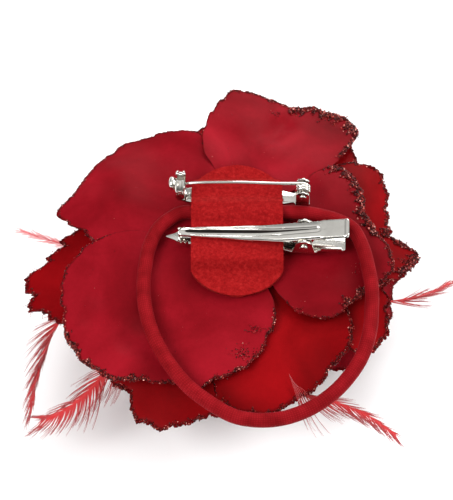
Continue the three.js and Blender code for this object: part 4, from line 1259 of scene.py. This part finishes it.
axle_place = clip_place @ Matrix.Translation((0, 0, PIVOT_Z))
headed_rod("axle_riveted", "clip_axle", axle_place, 0.75, 1.1, 3.95, 0.4)
SPRING_STEPS = 4 * 36 + 18  # four and a half turns, ten degrees at a time
coil = [coil_place(-90 - step * 10, 1.42, 1.25 - 2.5 * step / SPRING_STEPS, z=PIVOT_Z)
        for step in range(SPRING_STEPS + 1)]
spring_line = [(6, 1.25, 36.92), (3, 1.25, 36.98), *coil, (3, -1.25, 40.75), (6, -1.25, 41.4)]
spring_line = [(clip_place @ Vector(p), 1) for p in spring_line]
spring = make_piece("spring_wound", wire_mesh("spring", [spring_line], 0.56, 4), nickel,
                    body=None, stands_for=["clip_spring"])
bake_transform(spring)

# %% [markdown]
# ## Brooch bar
# The bar is a narrow plate with a hinge bent up at one end and a round catch at the other. The
# catch is an open ring, so its section is spun only part of the way round, which leaves the gap
# that the pin drops through.

# %% Bar
HINGE_X, HINGE_Z, CATCH_Z = 16.2, 40.4, 41.5
pin_place = Matrix.Translation((1.4, 10.0, 0)) @ Matrix.Rotation(math.radians(-2), 4, "Z")
ALONG = Matrix.Rotation(math.pi / 2, 4, "Y")
RING_STEPS = 44


def open_ring(sketch, section, gap, place):
    """A closed section of (radius, height), spun round Z but for a gap in degrees about +X."""
    part = bmesh.new()
    face = part.faces.new([part.verts.new((r, 0, h)) for r, h in section])
    half_gap = Matrix.Rotation(math.radians(gap / 2), 3, "Z")
    bmesh.ops.rotate(part, verts=part.verts, cent=(0, 0, 0), matrix=half_gap)
    bmesh.ops.spin(part, geom=part.verts[:] + part.edges[:] + [face], cent=(0, 0, 0),
                   axis=(0, 0, 1), angle=math.radians(360 - gap), steps=RING_STEPS,
                   dvec=(0, 0, 0))
    bmesh.ops.recalc_face_normals(part, faces=part.faces)
    return lay_in(sketch, part, place)


def rounded(r0, r1, h0, h1, edge):
    nick = edge * 0.3
    return [(r0 + edge, h0), (r1 - edge, h0), (r1 - nick, h0 + nick), (r1, h0 + edge),
            (r1, h1 - edge), (r1 - nick, h1 - nick), (r1 - edge, h1), (r0 + edge, h1),
            (r0, h1 - edge), (r0, h0 + edge)]


catch_axis = Matrix.Translation((0, 0, CATCH_Z)) @ ALONG @ Matrix.Rotation(math.pi, 4, "Z")


def brooch_bar():
    sketch = bmesh.new()
    plan = both_sides([(-17.4, 1.0), (-16.6, 1.6), (-15, 2.15), (-13, 2.4), (9.8, 2.4),
                       (13.4, 1.5), (14.1, 1.5), (14.4, 2.4), (17.4, 2.4), (18, 2.15), (18.2, 1.8)])
    plate(sketch, plan, JAW_LOW, JAW_TOP, edge=0.16)
    ear = [(HINGE_X - 1.8, EAR_LOW), (HINGE_X + 1.8, EAR_LOW)]
    ear += arc(HINGE_X, HINGE_Z, 1.8, 0, 180)
    for near, far in ((-2.4, -1.95), (1.95, 2.4)):
        upright(sketch, ear, near, far, 0.12)
    catch_foot = [(-17.5, EAR_LOW), (-15.5, EAR_LOW), (-15.5, 37.9), (-17.5, 37.9)]
    upright(sketch, catch_foot, -1.7, 1.7, 0.25)
    channel = [(3.05, -17.6), (3.55, -17.75), (3.8, -17.5), (3.8, -17.15), (3.5, -16.9),
               (3.5, -16.1), (3.8, -15.85), (3.8, -15.5), (3.55, -15.25), (3.05, -15.4)]
    open_ring(sketch, channel, 30, Matrix.Translation((0, 0, -0.55)) @ catch_axis)
    bmesh.ops.transform(sketch, matrix=pin_place, verts=sketch.verts)
    soften(make_piece("bar_pressed", sketch, nickel, stands_for=["pin_bar"]))


brooch_bar()
rivet_place = pin_place @ Matrix.Translation((HINGE_X, 0, HINGE_Z))
headed_rod("pin_rivet_set", "pin_rivet", rivet_place, 0.65, 1.0, 2.7, 0.35)

# %% [markdown]
# ## Pin and catch
# The pin is one wire: two and a half turns round the rivet, then a gentle bow to a sharp tip
# inside the catch. The catch's barrel has a wedge cut out of it and a round knob to turn it by.

# %% Pin and catch
PIN_TIP, PIN_TAPER = -17.0, 4
PIN_STEPS = 2 * 36 + 18  # two and a half turns, ten degrees at a time
pin_line = []
for step in range(PIN_STEPS):
    y = -1.18 + 1.9 * step / PIN_STEPS
    pin_line.append((coil_place(90 - 900 + step * 10, 1.72, y, HINGE_X, HINGE_Z), 1))
pin_bow = smooth_route([(HINGE_X, 0.72, 42.12), (12.5, 0.35, 42.5), (8.1, 0, 42.9), (-1, 0, 42.93),
                        (-9.4, 0, 42.37), (-15, 0, 41.72), (PIN_TIP, 0, 41.5)], 6)
pin_line += [(p, 0.25 + 0.75 * min(1, (p.x - PIN_TIP) / PIN_TAPER)) for p in pin_bow]
pin_line = [(pin_place @ Vector(p), share) for p, share in pin_line]
make_piece("pin_drawn", wire_mesh("pin", [pin_line], 0.82, 5), nickel, "pin",
           ["pin_wire"])


def catch_barrel():
    sketch = bmesh.new()
    open_ring(sketch, rounded(0.78, 2.4, -17.4, -15.6, 0.16), 36, catch_axis)
    knob = [(0, -19.6), (0.9, -19.6), (1.5, -19.4), (1.75, -19.0), (1.75, -18.5), (1.6, -18.15),
            (1.45, -18.0), (1.4, -17.8), (1.4, -17.25), (0, -17.25)]
    spun(sketch, knob, catch_axis, 32)
    bmesh.ops.transform(sketch, matrix=pin_place, verts=sketch.verts)
    soften(make_piece("catch_barrel", sketch, nickel, "catch", ["catch_rotor"]))


catch_barrel()

# %% [markdown]
# ## Floor and soft light
# The clip lies on a pale table under three large soft lamps and a sky that pales upwards, so the
# shadows stay faint and the metal has both bright and dark things to mirror.

# %% Table and lamps
TABLE_HALF, TABLE_HEIGHT = 2, -0.0012
SKY_STRENGTH = 0.9


def pale_table():
    sketch = bmesh.new()
    bmesh.ops.create_grid(sketch, x_segments=1, y_segments=1, size=TABLE_HALF)
    mesh = bpy.data.meshes.new("table")
    sketch.to_mesh(mesh)
    sketch.free()
    finish = start_finish("pale_table", (0.96, 0.96, 0.96), 0.9)
    mesh.materials.append(finish)
    table = bpy.data.objects.new("table", mesh)
    table.location = (0, 0, TABLE_HEIGHT)
    bpy.context.scene.collection.objects.link(table)


pale_table()


def soft_lamp(name, place, size, power):
    lamp = bpy.data.objects.new(name, bpy.data.lights.new(name, "AREA"))
    lamp.data.size = size
    lamp.data.energy = power
    lamp.location = place
    lamp.rotation_euler = (looked_at - Vector(place)).to_track_quat("-Z", "Y").to_euler()
    bpy.context.scene.collection.objects.link(lamp)
    print(name, power, "watts,", size, "m across")


soft_lamp("lamp_left", (-0.45, -0.35, 0.6), 0.45, 5.6)
soft_lamp("lamp_back", (0.2, 0.8, 0.5), 0.5, 6.0)
soft_lamp("lamp_right", (0.7, 0.05, 0.5), 0.45, 5.4)
sky = bpy.data.worlds.new("sky")
sky.use_nodes = True
nodes, links = sky.node_tree.nodes, sky.node_tree.links
facing = nodes.new("ShaderNodeSeparateXYZ")
links.new(nodes.new("ShaderNodeTexCoord").outputs["Generated"], facing.inputs[0])
shades = nodes.new("ShaderNodeValToRGB")
links.new(facing.outputs["Z"], shades.inputs["Fac"])
for element, (height, grey) in zip(shades.color_ramp.elements, ((0.0, 0.1), (1.0, 1.0))):
    element.position, element.color = height, (grey, grey, grey, 1)
for height, grey in ((0.35, 0.22), (0.62, 0.5), (0.8, 0.8)):
    shades.color_ramp.elements.new(height).color = (grey, grey, grey, 1)
links.new(shades.outputs["Color"], nodes["Background"].inputs["Color"])
nodes["Background"].inputs["Strength"].default_value = SKY_STRENGTH
bpy.context.scene.world = sky
bpy.context.scene.view_settings.view_transform = "Standard"
